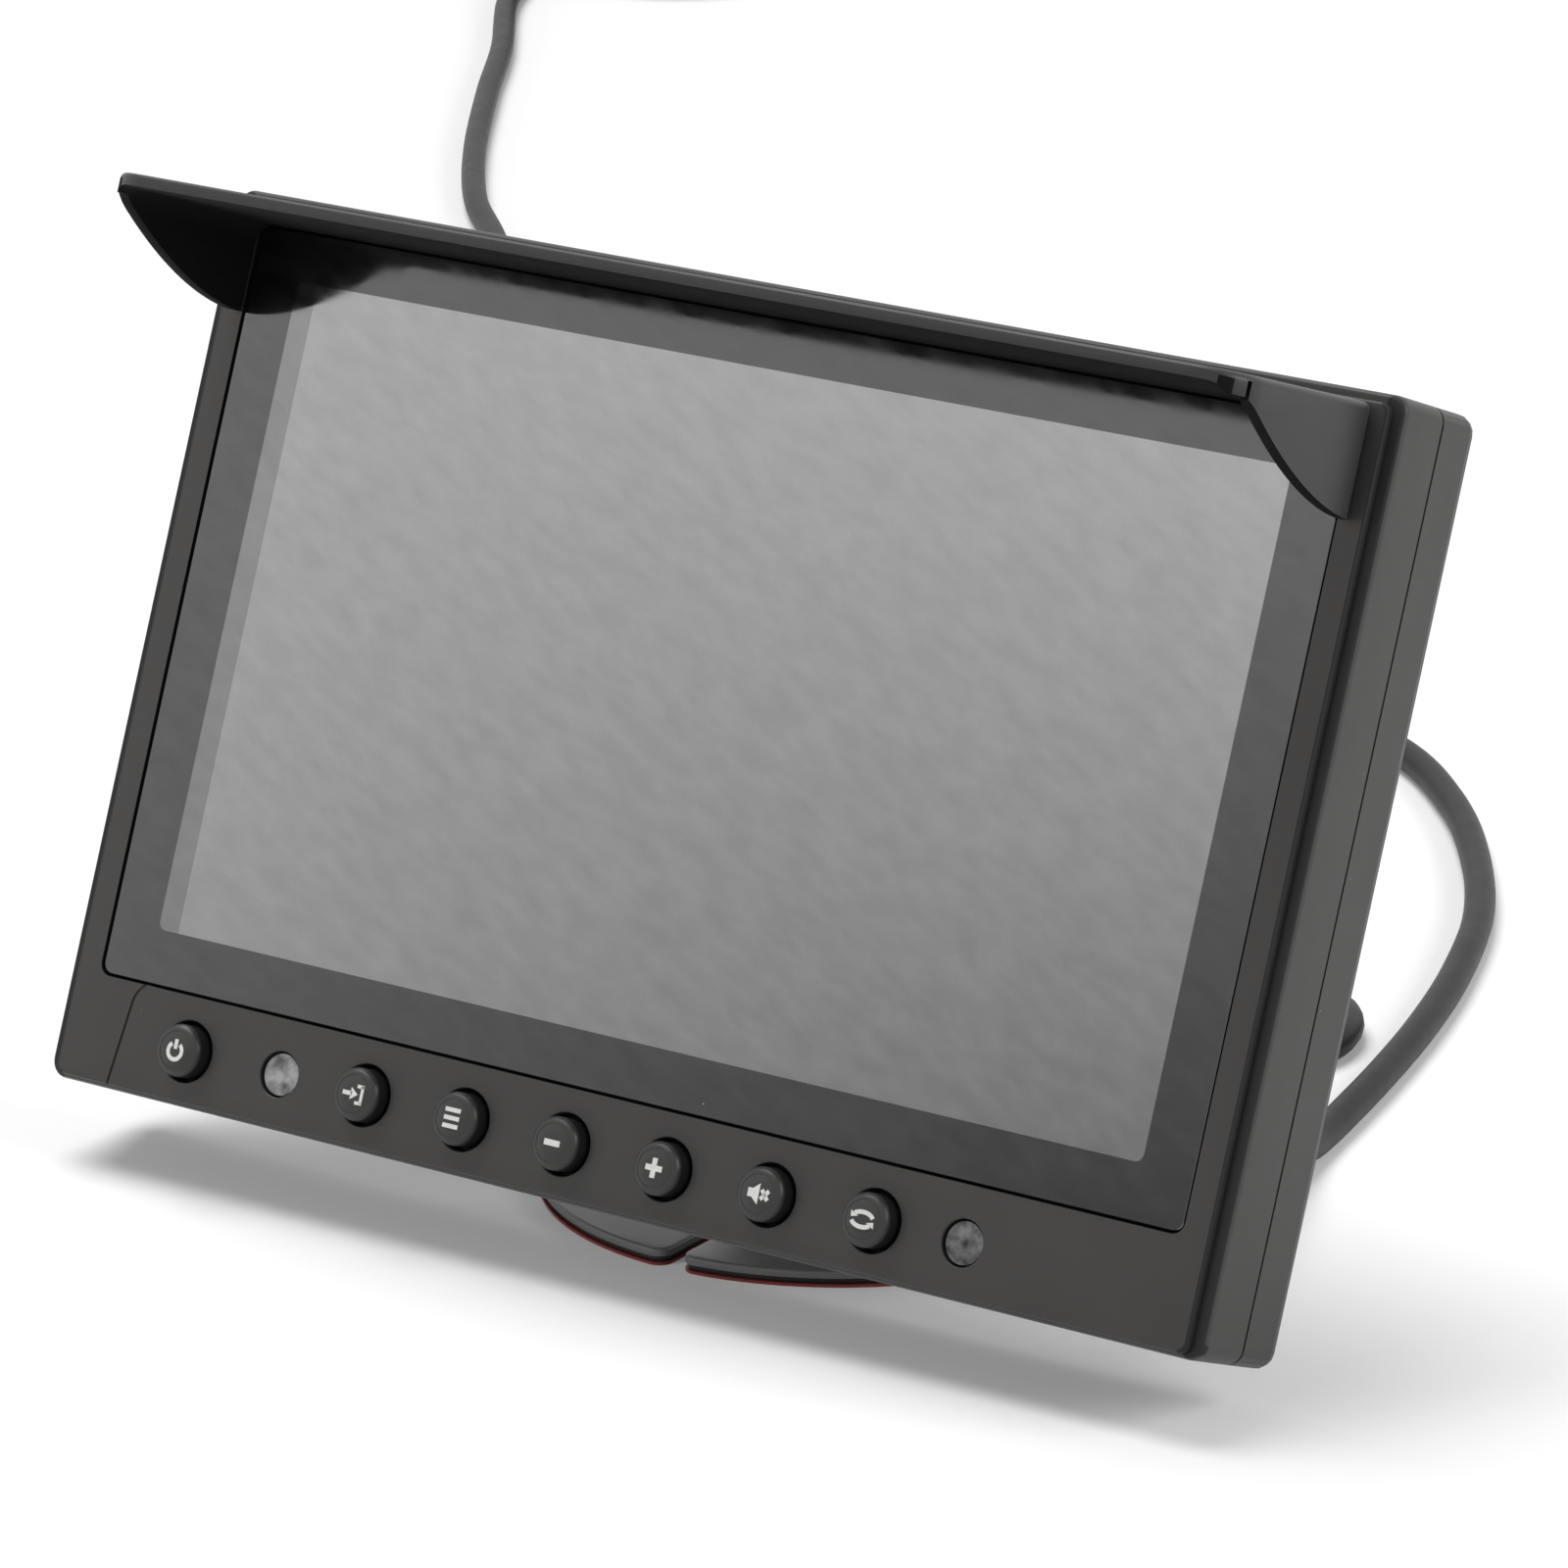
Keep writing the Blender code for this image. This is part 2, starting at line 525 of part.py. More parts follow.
def make_main_board(frame, looks):
    """Main circuit board and what is soldered to its back, with the loudspeaker behind it."""
    board = place("main_board", mesh_of("main_board", [slab(
        box_round(0.0, -BLOCK_DROP, MAIN_WIDTH, MAIN_HEIGHT), POST_INSET / 2, MAIN_FACE, MAIN_BACK)],
        looks["circuit_board"]), frame)
    holes = [rod(MAIN_FACE - SMALL, MAIN_BACK + SMALL, TRAY_PIN + FIT, place_xz, sides=12)
             for place_xz in MAIN_POSTS]
    combine(board, holes, "DIFFERENCE")
    seat = MAIN_BACK + FIT
    parts = (("video_chip", box_round(0.0, 0.0, CHIP_SIZE, CHIP_SIZE), CHIP_HEIGHT, "chip"),
             ("power_inductor", box_round(INDUCTOR_X, INDUCTOR_Z, INDUCTOR_SIZE, INDUCTOR_SIZE),
              INDUCTOR_HEIGHT, "ferrite"),
             ("cable_header", box_round(HEADER_X, HEADER_Z, HEADER_LENGTH, HEADER_WIDTH),
              HEADER_HEIGHT, "header_plastic"))
    for name, box, height, kind in parts:
        place(name, mesh_of(name, [slab(box, FIT, seat, seat + height, steps=1)], looks[kind]), frame)
    rim_back = BLOCK_FACE - WALL - FIT
    rim_face = rim_back - SPEAKER_RIM
    profile = [(rim_face - MAGNET_HEIGHT, MAGNET_RADIUS), (rim_face, MAGNET_RADIUS),
               (rim_face, SPEAKER_RADIUS), (rim_back, SPEAKER_RADIUS)]
    place("speaker", mesh_of("speaker", [turned(profile, (SPEAKER_X, SPEAKER_Z))], looks["ferrite"]), frame)


def make_controls(frame, looks):
    """Seven keys on their switches, the two sensor windows and the board behind them."""
    cap = [(-BUTTON_PROUD, BUTTON_RADIUS - BUTTON_ROUND), (-BUTTON_PROUD + BUTTON_ROUND * 0.3,
                                                          BUTTON_RADIUS - BUTTON_ROUND * 0.3),
           (-BUTTON_PROUD + BUTTON_ROUND, BUTTON_RADIUS), (FLANGE_FACE, BUTTON_RADIUS),
           (FLANGE_FACE, BUTTON_RADIUS + BUTTON_FLANGE), (FLANGE_BACK, BUTTON_RADIUS + BUTTON_FLANGE),
           (FLANGE_BACK, STEM_RADIUS), (STEM_END, STEM_RADIUS)]
    key_mesh = mesh_of("key", [turned(cap)], looks["key_rubber"])
    plunger = box_round(0.0, 0.0, 2 * PLUNGER_RADIUS, 2 * PLUNGER_RADIUS)
    body = box_round(0.0, 0.0, SWITCH_SIZE, SWITCH_SIZE)
    shoulder = PLUNGER_FACE + PLUNGER_HEIGHT
    rings = slab(plunger, PLUNGER_RADIUS, PLUNGER_FACE, shoulder, 2)
    rings += slab(body, FIT, shoulder, SWITCH_BACK, 2)
    switch_mesh = mesh_of("switch", [rings], looks["switch_plastic"])
    for key, x in KEY_X.items():
        place(f"button_{key}", key_mesh, frame, (x, 0.0, ROW_Z))
        place(f"switch_{key}", switch_mesh, frame, (x, 0.0, ROW_Z))
    lens = [(SENSOR_RECESS, SENSOR_RADIUS), (FLANGE_FACE, SENSOR_RADIUS),
            (FLANGE_FACE, SENSOR_RADIUS + SENSOR_FLANGE), (FLANGE_BACK, SENSOR_RADIUS + SENSOR_FLANGE)]
    lens_mesh = mesh_of("lens", [turned(lens)], looks["sensor_window"])
    square = box_round(0.0, 0.0, SENSOR_CHIP, SENSOR_CHIP)
    chip = slab(square, FIT, FLANGE_BACK + PRESS_GAP, SWITCH_BACK, steps=1)
    chip_mesh = mesh_of("sensor_chip", [chip], looks["chip"])
    for lens_name, chip_name, x in (("receiver_window", "remote_receiver", RECEIVER_X),
                                    ("light_window", "light_sensor", LIGHT_X)):
        place(lens_name, lens_mesh, frame, (x, 0.0, ROW_Z))
        place(chip_name, chip_mesh, frame, (x, 0.0, ROW_Z))
    left, right = BOARD_POSTS
    outline = (left - BOARD_OVERHANG, right + BOARD_OVERHANG,
               ROW_Z - BOARD_HEIGHT / 2, ROW_Z + BOARD_HEIGHT / 2)
    board = place("button_board", mesh_of("button_board", [slab(outline, BOARD_PIN, BOARD_FACE, BOARD_BACK)],
                                          looks["circuit_board"]), frame)
    holes = [rod(BOARD_FACE - SMALL, BOARD_BACK + SMALL, BOARD_PIN + FIT, (x, ROW_Z), sides=12)
             for x in BOARD_POSTS]
    combine(board, holes, "DIFFERENCE")


def make_rear_shell(frame, looks):
    """Rear half of the housing, with the raised block that the tilt arm is screwed to."""
    rings = [rounded(HOUSING, HOUSING_CORNER, FRONT_DEPTH + FIT)]
    for step in range(5):
        angle = math.pi / 2 * step / 4
        edge = REAR_ROUND * (1 - math.cos(angle))
        depth = REAR_FACE - REAR_ROUND * (1 - math.sin(angle))
        rings.append(rounded(inset(HOUSING, edge), HOUSING_CORNER, depth))
    rings += [rounded(inset(BLOCK, -BLOCK_SLOPE), BLOCK_CORNER, REAR_FACE),
              rounded(BLOCK, BLOCK_CORNER, BLOCK_FACE - BLOCK_EDGE),
              rounded(inset(BLOCK, BLOCK_EDGE), BLOCK_CORNER, BLOCK_FACE)]
    shell = place("rear_shell", mesh_of("rear_shell", [rings], looks["housing_plastic"]), frame)
    inside = inset(HOUSING, WALL)
    ceiling = REAR_FACE - WALL
    cavity = [rounded(inside, HOUSING_CORNER, FRONT_DEPTH - SMALL), rounded(inside, HOUSING_CORNER, ceiling),
              rounded(inset(BLOCK, WALL - BLOCK_SLOPE), BLOCK_CORNER, ceiling),
              rounded(inset(BLOCK, WALL), BLOCK_CORNER, BLOCK_FACE - WALL)]
    combine(shell, [cavity], "DIFFERENCE")
    start = FRONT_DEPTH + FIT
    columns = [rod(start, ceiling + FIT, BOSS_RADIUS, place_xz) for place_xz in BOSS_PLACES]
    arm_root = BLOCK_FACE - WALL + FIT
    columns += [rod(arm_root - ARM_BOSS_LENGTH, arm_root, BOSS_RADIUS, place_xz) for place_xz in ARM_SCREWS]
    combine(shell, columns, "UNION")
    holes = [turned([(start - SMALL, SCREW_HOLE), (SCREW_SEAT, SCREW_HOLE), (SCREW_SEAT, SCREW_HEAD + FIT),
                     (REAR_FACE + SMALL, SCREW_HEAD + FIT)], place_xz, sides=12) for place_xz in BOSS_PLACES]
    holes += [rod(ARM_BACK - ARM_SCREW_LENGTH, BLOCK_FACE + SMALL, ARM_SCREW_HOLE, place_xz, sides=12)
              for place_xz in ARM_SCREWS]
    holes.append(rod(ceiling - SMALL, REAR_FACE + SMALL, GLAND_SPIGOT + FIT, (GLAND_X, GLAND_Z)))
    for slot in range(GRILLE_SLOTS):
        offset = (slot - (GRILLE_SLOTS - 1) / 2) * GRILLE_PITCH
        length = 2 * math.sqrt((SPEAKER_RADIUS - GRILLE_PITCH) ** 2 - offset ** 2)
        mouth = box_round(SPEAKER_X + offset, SPEAKER_Z, GRILLE_WIDTH, length)
        holes.append(slab(mouth, 0.45 * GRILLE_WIDTH, BLOCK_FACE - WALL - SMALL, BLOCK_FACE + SMALL))
    combine(shell, holes, "DIFFERENCE")


def make_screws(frame, looks):
    """Housing screws and tilt arm screws."""
    head = SCREW_SEAT + FIT
    housing = [(SCREW_TIP, SCREW_RADIUS), (head, SCREW_RADIUS), (head, SCREW_HEAD),
               (head + SCREW_HEAD_HEIGHT, SCREW_HEAD)]
    mesh = mesh_of("housing_screw", [turned(housing, sides=12)], looks["screw_steel"])
    for number, (x, z) in enumerate(BOSS_PLACES, 1):
        place(f"housing_screw_{number}", mesh, frame, (x, 0.0, z))
    head = ARM_BACK + FIT
    arm = [(head - ARM_SCREW_LENGTH, ARM_SCREW_RADIUS), (head, ARM_SCREW_RADIUS), (head, ARM_SCREW_HEAD),
           (head + ARM_SCREW_HEIGHT, ARM_SCREW_HEAD)]
    mesh = mesh_of("arm_screw", [turned(arm, sides=12)], looks["screw_steel"])
    for number, (x, z) in enumerate(ARM_SCREWS, 1):
        place(f"arm_screw_{number}", mesh, frame, (x, 0.0, z))


def make_arm(frame, looks):
    """Plate on the monitor's back with the eye that turns between the foot's ears."""
    plate = slab(box_round(0.0, -PIVOT_DROP, ARM_WIDTH, ARM_HEIGHT), ARM_CORNER, ARM_FACE, ARM_BACK)
    arm = place("tilt_arm", mesh_of("tilt_arm", [plate], looks["stand_plastic"]), frame)
    root = ARM_BACK - ARM_THICKNESS / 2
    outline = [(root, -PIVOT_DROP - EYE_RADIUS)]
    outline += arc(PIVOT_DEPTH, -PIVOT_DROP, EYE_RADIUS, -90, 90, 12)
    outline.append((root, -PIVOT_DROP + EYE_RADIUS))
    combine(arm, [side_prism(outline, -EYE_HALF, EYE_HALF)], "UNION")
    cuts = [rod(ARM_FACE - SMALL, ARM_BACK + SMALL, ARM_SCREW_HOLE, place_xz, sides=12)
            for place_xz in ARM_SCREWS]
    cuts.append(rod(-EYE_HALF - SMALL, EYE_HALF + SMALL, BOLT_BORE, (PIVOT_DEPTH, -PIVOT_DROP), "X"))
    combine(arm, cuts, "DIFFERENCE")


def visor_stations(front):
    """Distances in front of the plate, each with the visor's half width there."""
    straight = front - VISOR_CORNER
    stations = [(FIT + (straight - FIT) * step / 5, VISOR_HALF) for step in range(6)]
    for step in range(1, 6):
        angle = math.pi / 2 * step / 5
        stations.append((straight + VISOR_CORNER * math.sin(angle),
                         VISOR_HALF - VISOR_CORNER * (1 - math.cos(angle))))
    return stations


def make_visor(frame, looks):
    """Sun visor: sloping top, two curved wings and the tongues that plug it into the bezel."""
    front = FIT + VISOR_REACH

    def top(reach):
        return VISOR_TOP - VISOR_SLOPE * reach / front

    def wing(reach):
        rise = VISOR_WING - VISOR_SLOPE - VISOR_TIP
        return VISOR_TOP - VISOR_WING + rise * min(reach / WING_REACH, 1.0) ** WING_POWER

    def section(reach, half, low, high):
        return [(-half, -reach, low), (half, -reach, low), (half, -reach, high), (-half, -reach, high)]

    outside = [section(reach, half, wing(reach), top(reach))
               for reach, half in visor_stations(front)]
    visor = place("sun_visor", mesh_of("sun_visor", [outside], looks["visor_plastic"]), frame)
    inner = VISOR_HALF - VISOR_WALL
    below = VISOR_TOP - VISOR_WING - VISOR_INNER - SMALL
    inside = [rounded((-inner, inner, below, top(reach) - VISOR_WALL), VISOR_INNER, -reach)
              for reach in (-SMALL, front + SMALL)]
    combine(visor, [inside], "DIFFERENCE")
    combine(visor, [visor_slit(side, front, top(front) - SLIT_BELOW) for side in (-1, 1)], "DIFFERENCE")
    tongues = []
    for side in (-1, 1):
        box = box_round(side * TONGUE_X, TONGUE_TOP - TONGUE_THICKNESS / 2, TONGUE_WIDTH, TONGUE_THICKNESS)
        tongues.append(slab(box, FIT / 2, -VISOR_WALL, TONGUE_LENGTH, steps=1))
    combine(visor, tongues, "UNION")


def visor_slit(side, front, high):
    """Cutter for the slit across the visor's rounded corner, square to its wall."""
    centre_x = VISOR_HALF - VISOR_CORNER
    centre_y = front - VISOR_CORNER
    out_x = math.cos(SLIT_ANGLE)
    out_y = math.sin(SLIT_ANGLE)
    half = SLIT_WIDTH / 2
    inner = VISOR_CORNER - VISOR_WALL - SMALL
    outer = VISOR_CORNER + SMALL
    outline = [(centre_x + out_x * away - out_y * across, centre_y + out_y * away + out_x * across)
               for away, across in ((inner, -half), (outer, -half), (outer, half), (inner, half))]
    return [[(side * x, -y, z) for x, y in outline] for z in (VISOR_TOP - VISOR_WING - SMALL, high)]


def petal_ring(shrink, z):
    """Outline of the petal foot, drawn in by shrink, at height z."""
    radius = FOOT_RADIUS - shrink
    half = SLOT_HALF + shrink
    corner = PETAL_CORNER - shrink
    side = half + corner
    reach = math.sqrt((radius - corner) ** 2 - side ** 2)
    swing = math.degrees(math.atan2(side, reach))
    outline = arc(SLOT_INNER, 0.0, half, 270, 90, 4)
    outline += arc(reach, side, corner, -90, swing, 3)
    share = 360 / PETALS
    outline += arc(0.0, 0.0, radius, swing, share - swing, 7)[1:-1]
    turn = math.radians(share)
    mirrored = [(x * math.cos(turn) + y * math.sin(turn), x * math.sin(turn) - y * math.cos(turn))
                for x, y in arc(reach, side, corner, swing, -90, 3)]
    outline += mirrored
    ring = []
    for petal in range(PETALS):
        angle = petal * turn + FOOT_TURN
        ring += [(x * math.cos(angle) - y * math.sin(angle), x * math.sin(angle) + y * math.cos(angle), z)
                 for x, y in outline]
    return ring


def make_foot(looks):
    """Petal foot with its hub and fork, on an adhesive pad with a release liner."""
    edge = min(FOOT_EDGE, FOOT_THICKNESS / 2)
    rings = [petal_ring(0.0, FOOT_BOTTOM), petal_ring(0.0, FOOT_TOP - edge),
             petal_ring(edge * 0.3, FOOT_TOP - edge * 0.3), petal_ring(edge, FOOT_TOP)]
    foot = place("base_foot", mesh_of("base_foot", [rings], looks["stand_plastic"]))
    root = FOOT_TOP - FOOT_THICKNESS / 2
    hub = [(root, HUB_BASE), (FOOT_TOP, HUB_BASE), (FOOT_TOP + HUB_HEIGHT, HUB_TOP)]
    combine(foot, [turned(hub, axis="Z", sides=32)], "UNION")
    outline = [(-EAR_BASE, FOOT_TOP + HUB_HEIGHT / 2), (EAR_BASE, FOOT_TOP + HUB_HEIGHT / 2)]
    outline += arc(0.0, PIVOT_HEIGHT, EAR_RADIUS, 0, 180, 12)
    ears = [side_prism(outline, -EAR_OUTSIDE, -EAR_INSIDE), side_prism(outline, EAR_INSIDE, EAR_OUTSIDE)]
    combine(foot, ears, "UNION")
    bore = rod(-EAR_OUTSIDE - SMALL, EAR_OUTSIDE + SMALL, BOLT_BORE, (0.0, PIVOT_HEIGHT), "X")
    combine(foot, [bore], "DIFFERENCE")
    pad = [petal_ring(FOOT_EDGE, PAD_BOTTOM), petal_ring(FOOT_EDGE, PAD_BOTTOM + PAD_THICKNESS)]
    place("adhesive_pad", mesh_of("adhesive_pad", [pad], looks["adhesive_foam"]))
    liner = [petal_ring(0.0, 0.0), petal_ring(0.0, LINER_THICKNESS)]
    place("release_liner", mesh_of("release_liner", [liner], looks["liner_film"]))


def make_pivot(looks):
    """Bolt through the fork and the eye, its washer and the knob that clamps it."""
    axis = empty("knob_axis", location=(0.0, 0.0, PIVOT_HEIGHT))
    head = -EAR_OUTSIDE - FIT
    bolt = [(head - BOLT_HEAD_HEIGHT, BOLT_HEAD), (head, BOLT_HEAD), (head, BOLT_RADIUS),
            (BOLT_END, BOLT_RADIUS)]
    place("pivot_bolt", mesh_of("pivot_bolt", [turned(bolt, axis="X")], looks["screw_steel"]), axis)
    back = WASHER_FACE + WASHER_THICKNESS
    washer = [(WASHER_FACE, BOLT_BORE), (WASHER_FACE, BOLT_HEAD), (back, BOLT_HEAD), (back, BOLT_BORE)]
    ring = (turned(washer, axis="X"), True)
    place("pivot_washer", mesh_of("pivot_washer", [ring], looks["screw_steel"]), axis)
    bore_end = BOLT_END + FIT
    tip = KNOB_FACE + KNOB_LENGTH
    rings = [lobed(KNOB_FACE, KNOB_RADIUS - KNOB_LOBE), lobed(KNOB_FACE + KNOB_LOBE, KNOB_RADIUS),
             lobed(tip - KNOB_LOBE, KNOB_RADIUS), lobed(tip, KNOB_RADIUS - KNOB_LOBE)]
    knob = place("tilt_knob", mesh_of("tilt_knob", [rings], looks["stand_plastic"]), axis)
    combine(knob, [rod(KNOB_FACE - SMALL, bore_end, BOLT_BORE, axis="X")], "DIFFERENCE")


def lobed(along, radius):
    """Ring of the knob's grip, swelling and waning round its lobes."""
    sides = 6 * KNOB_LOBES
    ring = []
    for i in range(sides):
        angle = 2 * math.pi * i / sides
        here = radius - KNOB_LOBE / 2 * (1 - math.cos(KNOB_LOBES * angle))
        ring.append((along, here * math.cos(angle), here * math.sin(angle)))
    return ring


def make_gland(frame, looks):
    """Strain relief that the cable leaves the housing through."""
    neck = GLAND_FACE + GLAND_FLANGE_THICKNESS
    profile = [(REAR_FACE - WALL - GLAND_INSIDE, GLAND_SPIGOT), (GLAND_FACE, GLAND_SPIGOT),
               (GLAND_FACE, GLAND_FLANGE), (neck, GLAND_FLANGE), (neck, GLAND_NECK), (GLAND_END, GLAND_TIP)]
    rings = turned(profile, (GLAND_X, GLAND_Z))
    place("cable_gland", mesh_of("cable_gland", [rings], looks["cable_rubber"]), frame)


def smooth_path(points, spacing):
    """Points at about even spacing on a smooth curve through the given ones."""
    ends = [2 * points[0] - points[1]] + points + [2 * points[-1] - points[-2]]
    fine = []
    for before, start, end, after in zip(ends, ends[1:], ends[2:], ends[3:]):
        for step in range(20):
            t = step / 20
            square = 2 * before - 5 * start + 4 * end - after
            cube = 3 * start - before - 3 * end + after
            fine.append(0.5 * (2 * start + (end - before) * t + square * t ** 2 + cube * t ** 3))
    fine.append(points[-1])
    lengths = [0.0]
    for start, end in zip(fine, fine[1:]):
        lengths.append(lengths[-1] + (end - start).length)
    count = max(2, round(lengths[-1] / spacing))
    path = []
    place_on = 0
    for step in range(count + 1):
        wanted = lengths[-1] * step / count
        while place_on < len(fine) - 2 and lengths[place_on + 1] < wanted:
            place_on += 1
        share = (wanted - lengths[place_on]) / (lengths[place_on + 1] - lengths[place_on])
        path.append(fine[place_on].lerp(fine[place_on + 1], share))
    return path


def path_length(path):
    return sum((end - start).length for start, end in zip(path, path[1:]))


def make_tube(name, path, resolution, material):
    curve = bpy.data.curves.new(name, "CURVE")
    curve.dimensions = "3D"
    curve.fill_mode = "FULL"
    curve.bevel_depth = CABLE_RADIUS
    curve.bevel_resolution = resolution
    curve.use_fill_caps = True
    spline = curve.splines.new("POLY")
    spline.points.add(len(path) - 1)
    for point, here in zip(spline.points, path):
        point.co = (*here, 1.0)
    curve.materials.append(material)
    return place(name, curve)


def coil_path(centre, heading, right):
    """Loops that spiral in on the lower layer, climb where the spiral turns back, and out on the upper."""
    steps = round(COIL_TURNS * LOOP_POINTS)
    path = []
    for step in range(steps + 1):
        turns = COIL_TURNS * step / steps
        radius = COIL_INNER + COIL_PITCH * abs(turns - COIL_REVERSE)
        climb = min(max((turns - COIL_REVERSE + 0.25) / 0.5, 0.0), 1.0)
        height = COIL_LOW + (COIL_HIGH - COIL_LOW) * climb * climb * (3 - 2 * climb)
        angle = 2 * math.pi * turns
        flat = centre + radius * (heading * math.sin(angle) - right * math.cos(angle))
        path.append(Vector((flat.x, flat.y, height)))
    return path


def least_gap(path):
    """Least distance between the cable's surfaces where the path passes itself."""
    apart = LOOP_POINTS // 2
    pairs = ((path[i], path[j]) for i in range(len(path)) for j in range(i + apart, len(path)))
    return min((a - b).length for a, b in pairs) - CABLE_DIAMETER


def make_cable(frame, looks):
    """Cable from the gland down to the floor, over the floor, and into a tied coil with its plug."""
    rubber = looks["cable_rubber"]
    bpy.context.view_layer.update()
    exit_point = frame.matrix_world @ Vector((GLAND_X, GLAND_END + FIT, GLAND_Z))
    out = (frame.matrix_world.to_3x3() @ Vector((0.0, 1.0, 0.0))).normalized()
    route = [exit_point, exit_point + out * CABLE_DIAMETER] + [Vector(point) for point in RISER_ROUTE]
    riser = smooth_path(route, 2.2 * CABLE_DIAMETER)
    make_tube("cable_riser", riser, 2, rubber)
    start = riser[-1]
    along = (riser[-1] - riser[-2]).normalized()
    coil_start = Vector((*COIL_START, COIL_LOW))
    floor = [Vector((x, y, CABLE_RADIUS)) for x, y in FLOOR_ROUTE]
    heading = (coil_start - floor[-1]).xy.normalized()
    before_coil = coil_start - Vector((*heading, 0.0)) * 2 * CABLE_DIAMETER
    run = smooth_path([start + along * FIT] + floor + [before_coil, coil_start], 3.5 * CABLE_DIAMETER)
    for point in run:
        point.z = max(point.z, CABLE_RADIUS)
    make_tube("cable_run", run, 2, rubber)
    right = Vector((heading.y, -heading.x))
    entry = coil_start.xy + heading * (FIT + CABLE_DIAMETER)
    centre = entry + right * COIL_RADIUS
    coil = coil_path(centre, heading, right)
    lead = Vector((*(coil_start.xy + heading * FIT), COIL_LOW))
    tail = coil[-1] + Vector((*right, 0.0)) * COIL_TAIL
    make_tube("cable_coil", [lead] + coil + [tail], 1, rubber)
    total = path_length(riser) + path_length(run) + path_length(coil) + CABLE_DIAMETER + COIL_TAIL
    print(f"cable length {total:.3f} m, least gap in the coil {1000 * least_gap(coil):.2f} mm")
    make_tie(centre, heading, right, looks)
    make_plug(tail, Vector((*right, 0.0)), looks)


def make_tie(centre, heading, right, looks):
    """Band round the coil's turns, opposite the cable's entry."""
    inner = (COIL_INNER - CABLE_RADIUS - FIT, COIL_RADIUS + CABLE_RADIUS + FIT,
             COIL_LOW - CABLE_RADIUS - FIT, COIL_HIGH + CABLE_RADIUS + FIT)
    outer = inset(inner, -TIE_THICKNESS)
    half = TIE_WIDTH / 2
    rings = []
    for box, side in ((outer, -half), (outer, half), (inner, half), (inner, -half)):
        x0, x1, z0, z1 = box
        rings.append([(x0, side, z0), (x1, side, z0), (x1, side, z1), (x0, side, z1)])
    tie = place("coil_tie", mesh_of("coil_tie", [(rings, True)], looks["tie_nylon"]), location=(*centre, 0.0))
    tie.rotation_euler = (0.0, 0.0, math.atan2(right.y, right.x))


def make_plug(start, along, looks):
    """Moulded boot, plug body and the knurled nut that turns on it."""
    axis = empty("plug_axis", location=start, rotation=along.to_track_quat("Z", "Y").to_euler())
    boot_end = FIT + BOOT_LENGTH
    boot = turned([(FIT, BOOT_SLIM), (boot_end, BOOT_WIDE)], axis="Z")
    place("plug_boot", mesh_of("plug_boot", [boot], looks["cable_rubber"]), axis)
    body_start = boot_end + FIT
    body_end = body_start + PLUG_LENGTH
    body = rod(body_start, body_end, PLUG_RADIUS, axis="Z")
    place("plug_body", mesh_of("plug_body", [body], looks["plug_plastic"]), axis)
    nut_outer = start.z - FIT / 2
    nut_inner = PLUG_RADIUS + FIT
    sides = 3 * NUT_FLUTES
    rings = []
    nut_start = body_end - NUT_LENGTH
    for along_nut, radius, flute in ((nut_start, nut_inner, 0.0), (nut_start, nut_outer, NUT_FLUTE),
                                     (body_end, nut_outer, NUT_FLUTE), (body_end, nut_inner, 0.0)):
        ring = []
        for i in range(sides):
            angle = 2 * math.pi * i / sides
            here = radius - flute * (i % 3 == 0)
            ring.append((here * math.cos(angle), here * math.sin(angle), along_nut))
        rings.append(ring)
    place("plug_nut", mesh_of("plug_nut", [(rings, True)], looks["plug_plastic"]), axis)


def make_looks():
    return {
        "housing_plastic": look("housing_plastic", (0.060, 0.057, 0.054), 0.55),
        "glass": look("glass", (0.090, 0.085, 0.082), 0.08),
        "display": look("display", (0.30, 0.30, 0.29), 0.35),
        "tray_steel": look("tray_steel", (0.55, 0.55, 0.55), 0.4, 1.0),
        "circuit_board": look("circuit_board", (0.02, 0.16, 0.07), 0.45),
        "chip": look("chip", (0.02, 0.02, 0.02), 0.5),
        "ferrite": look("ferrite", (0.06, 0.06, 0.065), 0.6),
        "header_plastic": look("header_plastic", (0.80, 0.78, 0.70), 0.5),
        "key_rubber": look("key_rubber", (0.022, 0.021, 0.021), 0.5),
        "switch_plastic": look("switch_plastic", (0.05, 0.05, 0.05), 0.5),
        "sensor_window": look("sensor_window", (0.16, 0.14, 0.13), 0.2),
        "visor_plastic": look("visor_plastic", (0.012, 0.012, 0.012), 0.6),
        "stand_plastic": look("stand_plastic", (0.070, 0.068, 0.066), 0.6),
        "adhesive_foam": look("adhesive_foam", (0.02, 0.02, 0.02), 0.9),
        "liner_film": look("liner_film", (0.45, 0.05, 0.04), 0.45),
        "screw_steel": look("screw_steel", (0.45, 0.45, 0.46), 0.35, 1.0),
        "cable_rubber": look("cable_rubber", (0.045, 0.045, 0.045), 0.5),
        "tie_nylon": look("tie_nylon", (0.03, 0.03, 0.03), 0.5),
        "plug_plastic": look("plug_plastic", (0.03, 0.03, 0.03), 0.45),
    }


def main():
    clear_scene()
    looks = make_looks()
    tilt_axis = empty("tilt_axis", location=(0.0, 0.0, PIVOT_HEIGHT), rotation=(-LEAN, 0.0, 0.0))
    frame = empty("monitor_frame", tilt_axis, (0.0, -PIVOT_DEPTH, PIVOT_DROP))
    make_bezel(frame, looks["housing_plastic"])
    make_screen(frame, looks)
    make_main_board(frame, looks)
    make_controls(frame, looks)
    make_rear_shell(frame, looks)
    make_screws(frame, looks)
    make_arm(frame, looks)
    make_visor(frame, looks)
    make_gland(frame, looks)
    make_foot(looks)
    make_pivot(looks)
    make_cable(frame, looks)


main()
